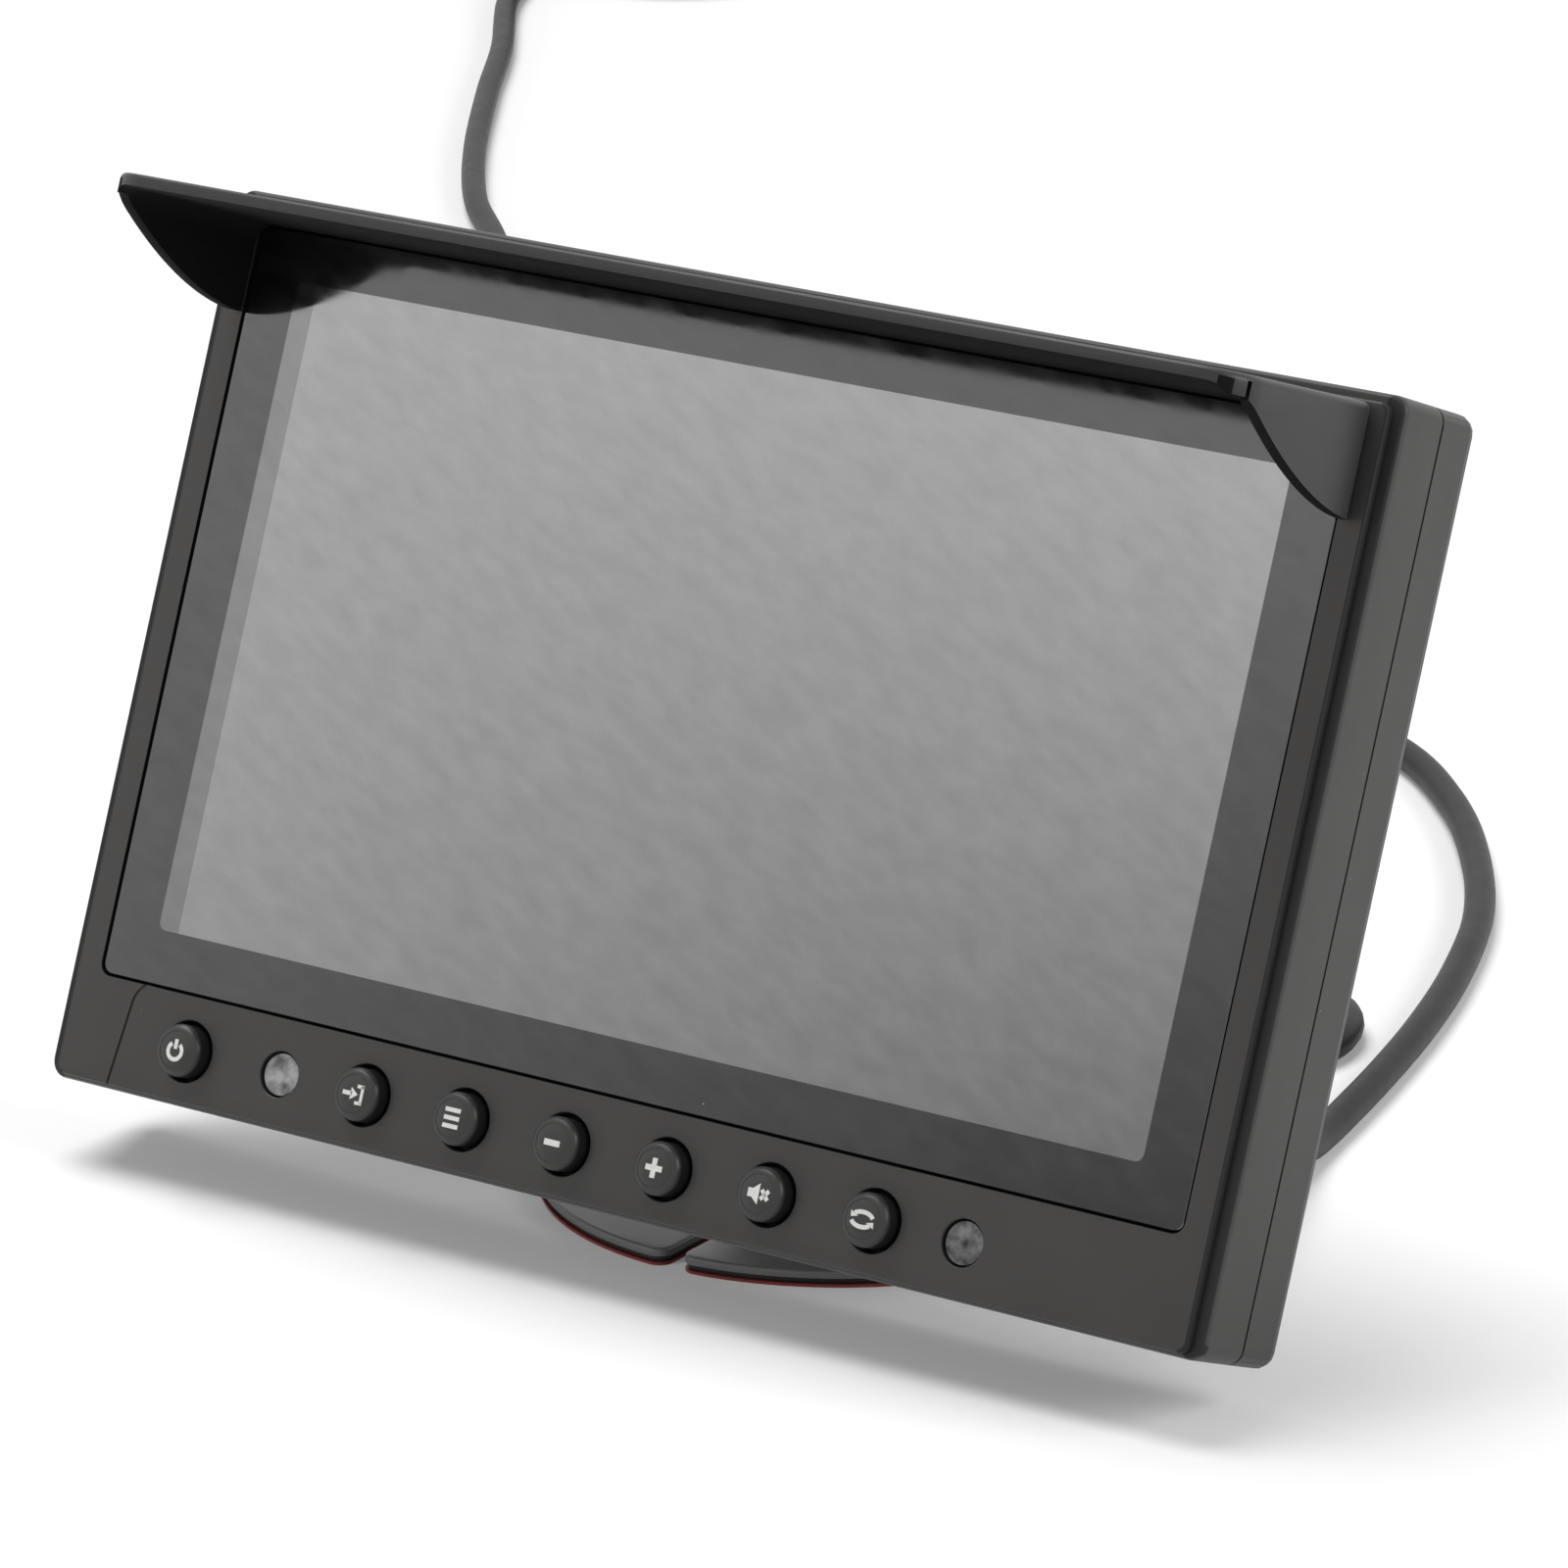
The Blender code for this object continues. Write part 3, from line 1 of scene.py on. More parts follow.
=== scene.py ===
"""Looks of a rear-view monitor on a petal foot: its finished surfaces, printed keys and cable.

World frame: metres, +Z up, origin under the foot's centre, screen facing -Y.
Monitor frame: origin on the tilt axis, x to the right, y into the body, z up the screen.
"""
import json

from math import atan2, cos, degrees, pi, radians, sin, sqrt

import bmesh
import bpy
from mathutils import Matrix, Vector


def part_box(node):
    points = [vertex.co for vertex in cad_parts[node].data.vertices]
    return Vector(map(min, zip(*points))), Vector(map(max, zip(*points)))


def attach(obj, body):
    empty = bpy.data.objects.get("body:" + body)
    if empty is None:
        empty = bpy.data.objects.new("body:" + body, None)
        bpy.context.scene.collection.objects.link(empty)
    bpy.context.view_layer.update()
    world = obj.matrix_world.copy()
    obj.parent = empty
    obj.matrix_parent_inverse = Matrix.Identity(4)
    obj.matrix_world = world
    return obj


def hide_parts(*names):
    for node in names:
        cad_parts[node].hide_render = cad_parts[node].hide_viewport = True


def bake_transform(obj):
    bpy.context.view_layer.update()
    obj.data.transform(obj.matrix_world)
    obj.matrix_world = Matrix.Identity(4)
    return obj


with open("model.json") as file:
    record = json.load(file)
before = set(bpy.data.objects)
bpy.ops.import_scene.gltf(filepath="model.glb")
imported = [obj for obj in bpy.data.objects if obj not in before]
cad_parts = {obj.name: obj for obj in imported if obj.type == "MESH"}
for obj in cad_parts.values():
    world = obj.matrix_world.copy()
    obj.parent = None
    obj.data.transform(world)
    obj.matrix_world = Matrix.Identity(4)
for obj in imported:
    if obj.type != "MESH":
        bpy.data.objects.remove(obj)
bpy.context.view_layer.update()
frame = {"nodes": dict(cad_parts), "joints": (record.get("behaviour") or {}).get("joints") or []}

# Camera, from the photograph's perspective
CAMERA_PLACE = (0.65814, -0.93247, 0.41675)
CAMERA_AZIMUTH = radians(35.58)
CAMERA_ELEVATION = radians(17.59)
FOCAL_PIXELS = 9400
IMAGE_PIXELS = 1600
SENSOR_WIDTH = 36.0
CLIP_NEAR = 0.05
CLIP_FAR = 20.0

# Light
AMBIENT = 0.2
FLOOR_HALF = 8.0
FLOOR_GLOW = 0.10
FLOOR_GREY = 0.90
CARD_HALF = (0.40, 0.35)
CARD_DISTANCE = 0.9
CARD_RISE = (-1.9, 3.2, 0.0)  # how its brightness rises along its own axes, for each metre
CARD_TWIST = 13.0             # and with the product of x and y, for each square metre
CARD_DIM = 0.25
CARD_BRIGHT = 1.50
LAMPS = {  # kind, place, aim, power and own settings
    "key": ("AREA", (-0.50, -0.90, 0.35), (0.0, -0.03, 0.07), 4.0, {"size": 0.4}),
    "side": ("AREA", (1.3, 0.2, 0.8), (0.0, 0.0, 0.06), 12.0, {"size": 0.8}),
    "top": ("SUN", (-0.35, 0.05, 1.0), (0.0, 0.0, 0.0), 2.2, {"angle": radians(40)}),
}

# Monitor frame, from the joints
joints = {joint["name"]: joint for joint in frame["joints"]}
PIVOT = Vector(joints["tilt"]["pos_m"])
INTO = Vector(joints["power_press"]["axis"])
MONITOR = Matrix.Translation(PIVOT) @ Matrix.Rotation(atan2(INTO.z, INTO.y), 4, "X")
GROUND = Matrix.Identity(4)

# Housing
FIT = 0.0003
SMALL = 0.001
RIM_SIDE = 0.0018
RIM_END = 0.0013
RIM_BOTTOM = 0.0006
RIM_STEP = 0.00115
RIM_ROUND = 0.0011
PLATE_EDGE = 0.00035
PLATE_CORNER = 0.0012
HOUSING_CORNER = 0.0022
WALL = 0.002
GLASS_GAP = 0.0003
GLASS_EDGE = 0.00012
GLASS_CORNER = 0.0014
MOUTH = 0.00012            # broken edge round a hole
POCKET_MOUTH = 0.00004     # and round the glass pocket
PARTING = 0.0002           # and where the housing halves meet
GROOVE_WIDTH = 0.00045
GROOVE_DEPTH = 0.00022
GROOVE_INSET = 0.0088
GROOVE_LEAN = 0.0014
GROOVE_BEND = 0.0036

# Keys and sensors
KEYS = ("power", "source", "menu", "minus", "plus", "mute", "rotate")
SENSORS = ("receiver_window", "light_window")
CAP_RADIUS = 0.0035
CAP_GAP = 0.0006           # dark ring round a key
CAP_ROUND = 0.0010
CAP_SHADE_DEPTH = 0.0013          # a key's side is painted black as shade below this depth
CAP_CROWN = 0.00006
RING_RADIUS = 0.0026
RING_WIDTH = 0.00016
RING_DEPTH = 0.00007
SYMBOL_LINE = 0.42
SYMBOL_SCALE = 0.00135     # metres in one unit of a symbol's drawing
PRINT_PROUD = 0.00002
PRINT_SUNK = 0.00025
SENSOR_RADIUS = 0.00275
SENSOR_DOME = 0.00012

# Sun visor
VISOR_REACH = 0.033
VISOR_CORNER = 0.007
VISOR_WALL = 0.0016
VISOR_INNER = 0.0025
VISOR_SLOPE = 0.0012
VISOR_WING = 0.0146
VISOR_TIP = 0.0026
VISOR_EDGE = 0.0011        # roundness of its top edge along the wings and the back
VISOR_FRONT_EDGE = 0.0005  # and along the front
VISOR_BACK_CORNER = 0.0012
VISOR_SOFT = 0.0002
WING_REACH = 0.0290
WING_POWER = 1.75
SLIT_WIDTH = 0.0006
SLIT_BELOW = 0.0006
SLIT_ANGLE = radians(22)
TONGUE_X = 0.045
TONGUE_WIDTH = 0.019
TONGUE_THICKNESS = 0.0012
TONGUE_DROP = 0.0005

# Display behind the glass
DISPLAY_HALF_X = 0.0775
DISPLAY_HALF_Z = 0.04355
DISPLAY_CORNER = 0.0012
DISPLAY_STRIP = 0.0033     # duller strip along its left edge
STREAK_ANGLE = radians(24)
STREAK_STRETCH = (0.4, 1.0, 1.0)
MOTTLE_SIZE = 0.0024
MOTTLE_DULL = 0.92         # mirroring in the dull patches
CLOUD_SIZE = 0.022

# Foot, screws and knob
FOOT_RADIUS = 0.0396
FOOT_THICKNESS = 0.0011
FOOT_EDGE = 0.0004
PETALS = 4
PETAL_CORNER = 0.002
FOOT_TURN = radians(2.2)
SLOT_HALF = 0.0012
SLOT_INNER = 0.017
HUB_BASE = 0.015
HUB_TOP = 0.013
HUB_HEIGHT = 0.0045
HUB_FLARE = 0.0012
HUB_EDGE = 0.0008
EAR_INSIDE = 0.006
EAR_OUTSIDE = 0.011
EAR_RADIUS = 0.008
EAR_BASE = 0.013
EAR_EDGE = 0.0005
BOLT_BORE = 0.0028
SCREWS = (("housing", 0.00125, 0.0018), ("arm", 0.0014, 0.0016))  # kind, shank's radius, head's height
SCREW_CROWN = 0.6          # domed share of a head, and its recess's share of the radius and the height
SCREW_BLADE = 0.15
KNOB_LOBES = 6
KNOB_LOBE = 0.0011
KNOB_NEAR = ((0.0, 0.0011), (0.0004, 0.0003), (0.0011, 0.0))  # depth from its near end, and draw inwards
KNOB_FAR = ((0.0015, 0.0), (0.0005, 0.0004), (0.0, 0.0014), (0.0, 0.0024), (0.0006, 0.0032))

# Cable
CABLE_DIAMETER = 0.0045
CABLE_RADIUS = CABLE_DIAMETER / 2
COIL_RADIUS = 0.0275
COIL_PITCH = 0.005
COIL_TURNS = 3.25
LOOP_POINTS = 72
COIL_TAIL = 0.012
TIE_THICKNESS = 0.0008
TIE_SIDES = 72
COIL_LOW = TIE_THICKNESS + FIT + CABLE_RADIUS
COIL_HIGH = COIL_LOW + COIL_PITCH
COIL_REVERSE = COIL_TURNS / 2
COIL_INNER = COIL_RADIUS - COIL_REVERSE * COIL_PITCH
TUBE_SIDES = 16
TUBE_STEP = 0.0025
RISER_ROUTE = [
    (0.0538, 0.000, 0.0206), (0.0532, 0.010, 0.0163), (0.0520, 0.020, 0.0114), (0.0504, 0.028, 0.0075),
    (0.0486, 0.035, 0.0044), (0.0467, 0.042, 0.0027), (0.0449, 0.049, 0.00225),
]
FLOOR_ROUTE = [
    (0.0432, 0.056), (0.039, 0.072), (0.033, 0.092), (0.025, 0.114), (0.014, 0.138), (0.000, 0.160),
    (-0.017, 0.181), (-0.038, 0.199), (-0.066, 0.209), (-0.092, 0.200), (-0.104, 0.176), (-0.095, 0.148),
    (-0.072, 0.127), (-0.040, 0.1138), (-0.010, 0.1033), (0.0148, 0.0945), (0.0236, 0.088),
    (0.0269, 0.0777), (0.0236, 0.0674), (0.0165, 0.0615), (0.0075, 0.0598), (-0.020, 0.0625),
    (-0.060, 0.075), (-0.105, 0.103), (-0.150, 0.150), (-0.200, 0.213), (-0.250, 0.272), (-0.300, 0.328),
    (-0.3375, 0.3683), (-0.3584, 0.3899), (-0.382, 0.4204), (-0.4095, 0.4605), (-0.430, 0.492),
    (-0.455, 0.527),
]
COIL_START = (-0.4735, 0.5620)

# Ends of the cable
RIBS = 5
BOOT_SLIM = 0.0032
BOOT_WIDE = 0.0056
BOOT_GROOVE = 0.0006
BOOT_SHARES = (0.0, 0.55, 0.62, 0.93)  # where a rib starts and ends and its groove starts and ends
PLUG_EDGE = 0.0004
PINS = 4
PIN_CIRCLE = 0.0026
PIN_RADIUS = 0.0006
PIN_DEPTH = 0.005
NUT_FLUTES = 28
NUT_EDGE = 0.0008
FLUTE_DEPTH = 0.0004
GLAND_SEAT = 0.0038
GLAND_NECK = 0.0036
GLAND_FLANGE = 0.002
GLAND_EDGE = 0.0003
GLAND_CHAMFER = 0.0005
GLAND_WIDE = 0.0046
GLAND_SLIM = 0.0030
GLAND_GROOVE = 0.0005
GLAND_SHARES = (0.05, 0.5, 0.58, 0.95)
GLAND_END = 0.0025


# Reading the frame

def span(node, place=MONITOR):
    """Lowest and highest corner of a node in the monitor frame, or in the frame of another place."""
    back = place.inverted()
    columns = list(zip(*[back @ vertex.co for vertex in frame["nodes"][node].data.vertices]))
    return Vector([min(column) for column in columns]), Vector([max(column) for column in columns])


def middle(node):
    low, high = span(node)
    return (low + high) / 2


def round_node(node):
    """Corners of a node turned round the monitor's y, its centre in x and z, and its radius."""
    low, high = span(node)
    return low, high, ((low.x + high.x) / 2, (low.z + high.z) / 2), (high.x - low.x) / 2


# Modelling

def add_loft(bm, rings, closed):
    """Add a closed shell through rings of equally many points, capped unless it runs round."""
    loops = [[bm.verts.new(point) for point in ring] for ring in rings]
    pairs = list(zip(loops, loops[1:]))
    if closed:
        pairs.append((loops[-1], loops[0]))
    faces = []
    for near, far in pairs:
        for i in range(len(near)):
            j = (i + 1) % len(near)
            faces.append(bm.faces.new((near[i], near[j], far[j], far[i])))
    if not closed:
        faces.append(bm.faces.new(loops[0][::-1]))
        faces.append(bm.faces.new(loops[-1]))
    bmesh.ops.recalc_face_normals(bm, faces=faces)


def put(name, data):
    made = bpy.data.objects.new(name, data)
    bpy.context.scene.collection.objects.link(made)
    return made


def piece_of(name, shells, place=MONITOR, closed=False):
    """An object of shells, each a list of rings."""
    bm = bmesh.new()
    for rings in shells:
        add_loft(bm, rings, closed)
    mesh = bpy.data.meshes.new(name)
    bm.to_mesh(mesh)
    bm.free()
    made = put(name, mesh)
    made.matrix_world = place
    return made


def apply_modifiers(made):
    bpy.context.view_layer.update()
    depsgraph = bpy.context.evaluated_depsgraph_get()
    mesh = bpy.data.meshes.new_from_object(made.evaluated_get(depsgraph))
    made.modifiers.clear()
    made.data = mesh


def merge(made, tool, operation):
    """Cut another object from a piece, or join it to it; the other is used up."""
    modifier = made.modifiers.new("merge", "BOOLEAN")
    modifier.operation = operation
    modifier.solver = "EXACT"
    modifier.object = tool
    apply_modifiers(made)
    bpy.data.objects.remove(tool)


def cut(made, shells):
    merge(made, piece_of("tool", shells, made.matrix_world), "DIFFERENCE")


def soften(made, width, segments=2, angle=40):
    """Round off a piece's sharp edges."""
    modifier = made.modifiers.new("soften", "BEVEL")
    modifier.width = width
    modifier.segments = segments
    modifier.limit_method = "ANGLE"
    modifier.angle_limit = radians(angle)
    apply_modifiers(made)


def coat(made, look, angle=32):
    """Smooth an object and give it a look."""
    made.data.shade_smooth()
    made.data.set_sharp_from_angle(angle=radians(angle))
    made.data.materials.clear()
    made.data.materials.append(LOOKS[look])


def dress(made, body, slot, look, *nodes, angle=32):
    """Finish a piece: give it its look, tie it to its body, and hide the nodes it stands in for."""
    coat(made, look, angle)
    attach(made, body)
    if nodes:
        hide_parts(*nodes)
    return made


def paint(made, look, chosen):
    """Give another look to the faces whose centre is chosen."""
    made.data.materials.append(LOOKS[look])
    index = len(made.data.materials) - 1
    for face in made.data.polygons:
        if chosen(face.center):
            face.material_index = index


def split(made, place, normal, chosen):
    """Cut the chosen faces of a piece in two along a plane."""
    bm = bmesh.new()
    bm.from_mesh(made.data)
    faces = [face for face in bm.faces if chosen(face.calc_center_median())]
    around = {part for face in faces for part in (*face.verts, *face.edges)}
    bmesh.ops.bisect_plane(bm, geom=faces + list(around), plane_co=place, plane_no=normal)
    bm.to_mesh(made.data)
    bm.free()


def inset(box, amount):
    return (box[0] + amount, box[1] - amount, box[2] + amount, box[3] - amount)


def box_round(x, z, width, height):
    return (x - width / 2, x + width / 2, z - height / 2, z + height / 2)


def box_of(low, high):
    return (low.x, high.x, low.z, high.z)


def rounded(box, corner, y, steps=8):
    """Rounded rectangle across the monitor's x and z at depth y."""
    x0, x1, z0, z1 = box
    centres = ((x1 - corner, z1 - corner), (x0 + corner, z1 - corner),
               (x0 + corner, z0 + corner), (x1 - corner, z0 + corner))
    ring = []
    for turn, (x, z) in enumerate(centres):
        for step in range(steps + 1):
            angle = pi / 2 * (turn + step / steps)
            ring.append((x + corner * cos(angle), y, z + corner * sin(angle)))
    return ring


def slab(box, corner, y0, y1, steps=8):
    return [rounded(box, corner, y0, steps), rounded(box, corner, y1, steps)]


def quarter(steps):
    """Shares by which a rounded edge has fallen and has yet to go out, over a quarter turn."""
    angles = [pi / 2 * step / steps for step in range(steps + 1)]
    return [(1 - cos(angle), 1 - sin(angle)) for angle in angles]


def lobed(radii, along, centre=(0.0, 0.0), axis="Z"):
    """Ring round an axis with a radius for each point; centre holds the other two coordinates."""
    ring = []
    for i, radius in enumerate(radii):
        angle = 2 * pi * i / len(radii)
        point = [centre[0] + radius * cos(angle), centre[1] + radius * sin(angle)]
        point.insert("XYZ".index(axis), along)
        ring.append(point)
    return ring


def turned(profile, centre=(0.0, 0.0), axis="Y", sides=48):
    """Rings of a turned piece from its profile of (along, radius)."""
    return [lobed([radius] * sides, along, centre, axis) for along, radius in profile]


def hole(mouth, end, radius, centre):
    """Cutter for a round hole with a broken edge at its mouth."""
    return turned([(mouth - SMALL, radius + MOUTH + SMALL), (mouth + MOUTH, radius), (end, radius)], centre)


def arc(x, y, radius, start, end, steps):
    """Points on an arc between two angles in degrees."""
    points = []
    for step in range(steps + 1):
        angle = radians(start + (end - start) * step / steps)
        points.append((x + radius * cos(angle), y + radius * sin(angle)))
    return points


def side_prism(outline, x0, x1):
    """Shell of an outline in y and z, drawn out along x."""
    return [[(x, y, z) for y, z in outline] for x in (x0, x1)]


def front_prism(outline, y0, y1):
    """Shell of an outline in x and z, drawn out along y."""
    return [[(x, y, z) for x, z in outline] for y in (y0, y1)]


# Materials

LOOKS = {}


def feed(tree, node, values):
    """Link or set a node's inputs."""
    for name, value in values.items():
        if isinstance(value, bpy.types.NodeSocket):
            tree.links.new(value, node.inputs[name])
        else:
            node.inputs[name].default_value = value


def add(tree, kind, values=None, **settings):
    """A shader node with its settings and its inputs."""
    made = tree.nodes.new("ShaderNode" + kind)
    for name, value in settings.items():
        setattr(made, name, value)
    feed(tree, made, values or {})
    return made


def maths(tree, operation, *values):
    return add(tree, "Math", dict(enumerate(values)), operation=operation).outputs[0]


def new_material(name):
    """Put a new material among the looks, and return its tree and its shader."""
    made = bpy.data.materials.new(name)
    made.use_nodes = True
    LOOKS[name] = made
    return made.node_tree, made.node_tree.nodes["Principled BSDF"]


def coords(tree, stretch=(1.0, 1.0, 1.0), turn=0.0):
    """Place on a piece, turned round y and then scaled."""
    place = add(tree, "TexCoord").outputs["Object"]
    slanted = add(tree, "Mapping", {"Vector": place, "Rotation": (0.0, turn, 0.0)}).outputs["Vector"]
    return add(tree, "Mapping", {"Vector": slanted, "Scale": stretch}).outputs["Vector"]


def noise(tree, where, size, detail=3.0, roughness=0.5):
    """Noise with features of about the given size in metres."""
    return add(tree, "TexNoise", {"Vector": where, "Scale": 1.0 / size, "Detail": detail,
                                  "Roughness": roughness}).outputs["Fac"]


def between(tree, fac, low, high, in_low=0.0, in_high=1.0):
    """A value spread from low to high."""
    return add(tree, "MapRange", {"Value": fac, "From Min": in_low, "From Max": in_high,
                                  "To Min": low, "To Max": high}).outputs["Result"]


def mix(tree, fac, first, second):
    """Two colours mixed."""
    return add(tree, "Mix", {0: fac, 6: first, 7: second}, data_type="RGBA").outputs[2]


def specks(tree, where, spacing, size, share):
    """Sparse dots: 1 in a dot, 0 elsewhere."""
    cells = add(tree, "TexVoronoi", {"Vector": where, "Scale": 1.0 / spacing}).outputs
    inside = maths(tree, "LESS_THAN", cells["Distance"], size / spacing)
    chosen = add(tree, "SeparateColor", {"Color": cells["Color"]}).outputs["Red"]
    return maths(tree, "MULTIPLY", inside, maths(tree, "LESS_THAN", chosen, share))


def bumps(tree, height, strength, depth):
    return add(tree, "Bump", {"Height": height, "Strength": strength, "Distance": depth}).outputs["Normal"]


def shade(colour, factor=1.0):
    return tuple(min(channel * factor, 1.0) for channel in colour) + (1.0,)


def grey(level):
    return (level, level, level, 1.0)


def moulded(name, colour, roughness, grain=0.00022, depth=0.00002, blotch=0.012, vary=0.10, dust=0.25,
            specular=0.5, sheen=0.0):
    """Moulded plastic or rubber: fine grain, faint blotches, uneven gloss and a few specks of dust."""
    tree, shader = new_material(name)
    where = coords(tree)
    base = mix(tree, noise(tree, where, blotch), shade(colour, 1.0 - vary), shade(colour, 1.0 + vary))
    base = mix(tree, specks(tree, where, 0.006, 0.00008, dust), base, (0.30, 0.29, 0.27, 1.0))
    uneven = noise(tree, where, blotch / 4)
    feed(tree, shader, {"Base Color": base, "Specular IOR Level": specular, "Sheen Weight": sheen,
                        "Roughness": between(tree, uneven, roughness - 0.06, roughness + 0.06),
                        "Normal": bumps(tree, noise(tree, where, grain, 2.0), 0.35, depth)})


def metal(name, colour, roughness, grain=0.0006, stretch=(1.0, 1.0, 1.0)):
    """Plain or brushed metal, with fine lines along its stretch."""
    tree, shader = new_material(name)
    lines = noise(tree, coords(tree, stretch), grain, 4.0)
    feed(tree, shader, {"Base Color": mix(tree, lines, shade(colour, 0.85), shade(colour, 1.1)),
                        "Roughness": between(tree, lines, roughness - 0.08, roughness + 0.10),
                        "Normal": bumps(tree, lines, 0.2, 0.00001), "Metallic": 1.0})


def circuit(name):
    """Green solder mask over a pattern of tracks, with a few bright pads."""
    tree, shader = new_material(name)
    where = coords(tree)
    tracks = add(tree, "TexBrick", {"Vector": where, "Scale": 260.0, "Mortar Size": 0.03,
                                    "Color1": (0.015, 0.13, 0.055, 1.0), "Color2": (0.02, 0.16, 0.07, 1.0),
                                    "Mortar": (0.03, 0.24, 0.11, 1.0)}).outputs["Color"]
    pads = specks(tree, where, 0.0022, 0.0005, 0.4)
    feed(tree, shader, {"Base Color": mix(tree, pads, tracks, (0.55, 0.50, 0.38, 1.0)), "Roughness": 0.4})


def screen_glass(name, dark, light, index):
    """Glass with a mottled grey behind it and a few specks; index sets how strongly it mirrors."""
    tree, shader = new_material(name)
    where = coords(tree)
    streaks = coords(tree, STREAK_STRETCH, -STREAK_ANGLE)
    mottle = between(tree, noise(tree, streaks, MOTTLE_SIZE, 3.0, 0.55), 0.0, 1.0, 0.3, 0.7)
    base = mix(tree, mottle, shade(dark), shade(light))
    base = mix(tree, between(tree, noise(tree, where, CLOUD_SIZE), 0.0, 0.4), base, shade(light))
    base = mix(tree, specks(tree, where, 0.012, 0.00010, 0.15), base, (0.35, 0.35, 0.34, 1.0))
    feed(tree, shader, {"Base Color": base, "IOR": index, "Roughness": between(tree, mottle, 0.05, 0.12),
                        "Specular Tint": mix(tree, mottle, grey(MOTTLE_DULL), grey(1.0)),
                        "Normal": bumps(tree, mottle, 0.008, 0.00002)})


def display_panel(name):
    """Unlit display: fine pixel columns over dark grey."""
    tree, shader = new_material(name)
    columns = add(tree, "TexWave", {"Vector": coords(tree), "Scale": 900.0, "Distortion": 0.0},
                  bands_direction="X").outputs["Fac"]
    base = mix(tree, columns, (0.05, 0.05, 0.055, 1.0), (0.08, 0.08, 0.085, 1.0))
    feed(tree, shader, {"Base Color": base, "Roughness": 0.3})


def sensor_lens(name, dark, light, roughness):
    """Mottled window, from dark to light grey."""
    tree, shader = new_material(name)
    haze = noise(tree, coords(tree), 0.0016)
    patchy = between(tree, haze, 0.0, 1.0, 0.32, 0.68)
    feed(tree, shader, {"Base Color": mix(tree, patchy, grey(dark), grey(light)),
                        "Roughness": between(tree, haze, roughness - 0.06, roughness + 0.06)})


def printed(name):
    """Pale ink of the key symbols, a little uneven."""
    tree, shader = new_material(name)
    wear = noise(tree, coords(tree), 0.0003)
    base = mix(tree, wear, (0.52, 0.52, 0.51, 1.0), (0.70, 0.70, 0.69, 1.0))
    feed(tree, shader, {"Base Color": base, "Roughness": 0.5})


moulded("housing", (0.036, 0.0342, 0.0330), 0.42, specular=0.28, sheen=0.08)
# recess: dark grey painted shade for the bezel's stepped rim and the walls of its key and sensor holes
moulded("recess", (0.016, 0.0156, 0.0155), 0.6, dust=0.0, specular=0.2)
moulded("visor", (0.016, 0.0158, 0.0157), 0.40, vary=0.06, specular=0.35, sheen=0.08)
# near-black painted shade for the visor's inside, a band along its wings' lower edges, and the gap round the
# glass
moulded("painted_shade_black", (0.004, 0.004, 0.004), 0.8, vary=0.06, dust=0.0, specular=0.1)
moulded("keys", (0.027, 0.0261, 0.0252), 0.40, grain=0.00012, dust=0.08, specular=0.35)
# near-black painted shade for a key's side down in its hole
moulded("key_painted_shade", (0.006, 0.006, 0.006), 0.5, grain=0.00012, dust=0.0, specular=0.25)
# foot: lighter than the stand plastic of the arm and knob, painted light for the petals lying in the
# monitor's shade
moulded("foot", (0.130, 0.128, 0.126), 0.40, specular=0.55)
moulded("stand", (0.060, 0.059, 0.058), 0.55)
moulded("cable", (0.010, 0.010, 0.0102), 0.48, grain=0.00035, vary=0.08, specular=0.22)
moulded("plug", (0.028, 0.028, 0.028), 0.45)
moulded("tie", (0.022, 0.022, 0.022), 0.7, grain=0.0005, depth=0.00008, sheen=0.3)
moulded("foam", (0.018, 0.018, 0.018), 0.85, grain=0.0004, depth=0.0001)
moulded("liner", (0.17, 0.030, 0.028), 0.40, vary=0.15)
moulded("chip", (0.018, 0.018, 0.019), 0.5)
moulded("ferrite", (0.05, 0.05, 0.052), 0.65)
moulded("header", (0.62, 0.59, 0.50), 0.45)
moulded("switch", (0.035, 0.035, 0.035), 0.45)
metal("steel", (0.50, 0.50, 0.51), 0.34)
metal("tray", (0.55, 0.55, 0.56), 0.38, stretch=(0.15, 1.0, 1.0))
circuit("board")
screen_glass("glass", (0.002, 0.002, 0.002), (0.008, 0.0078, 0.0076), 1.90)
screen_glass("screen", (0.003, 0.003, 0.0029), (0.022, 0.022, 0.0215), 3.39)
screen_glass("strip", (0.003, 0.0029, 0.0031), (0.017, 0.0165, 0.0175), 2.70)
display_panel("display")
sensor_lens("receiver", 0.05, 0.30, 0.32)
sensor_lens("light", 0.02, 0.16, 0.16)
printed("print")


# Housing

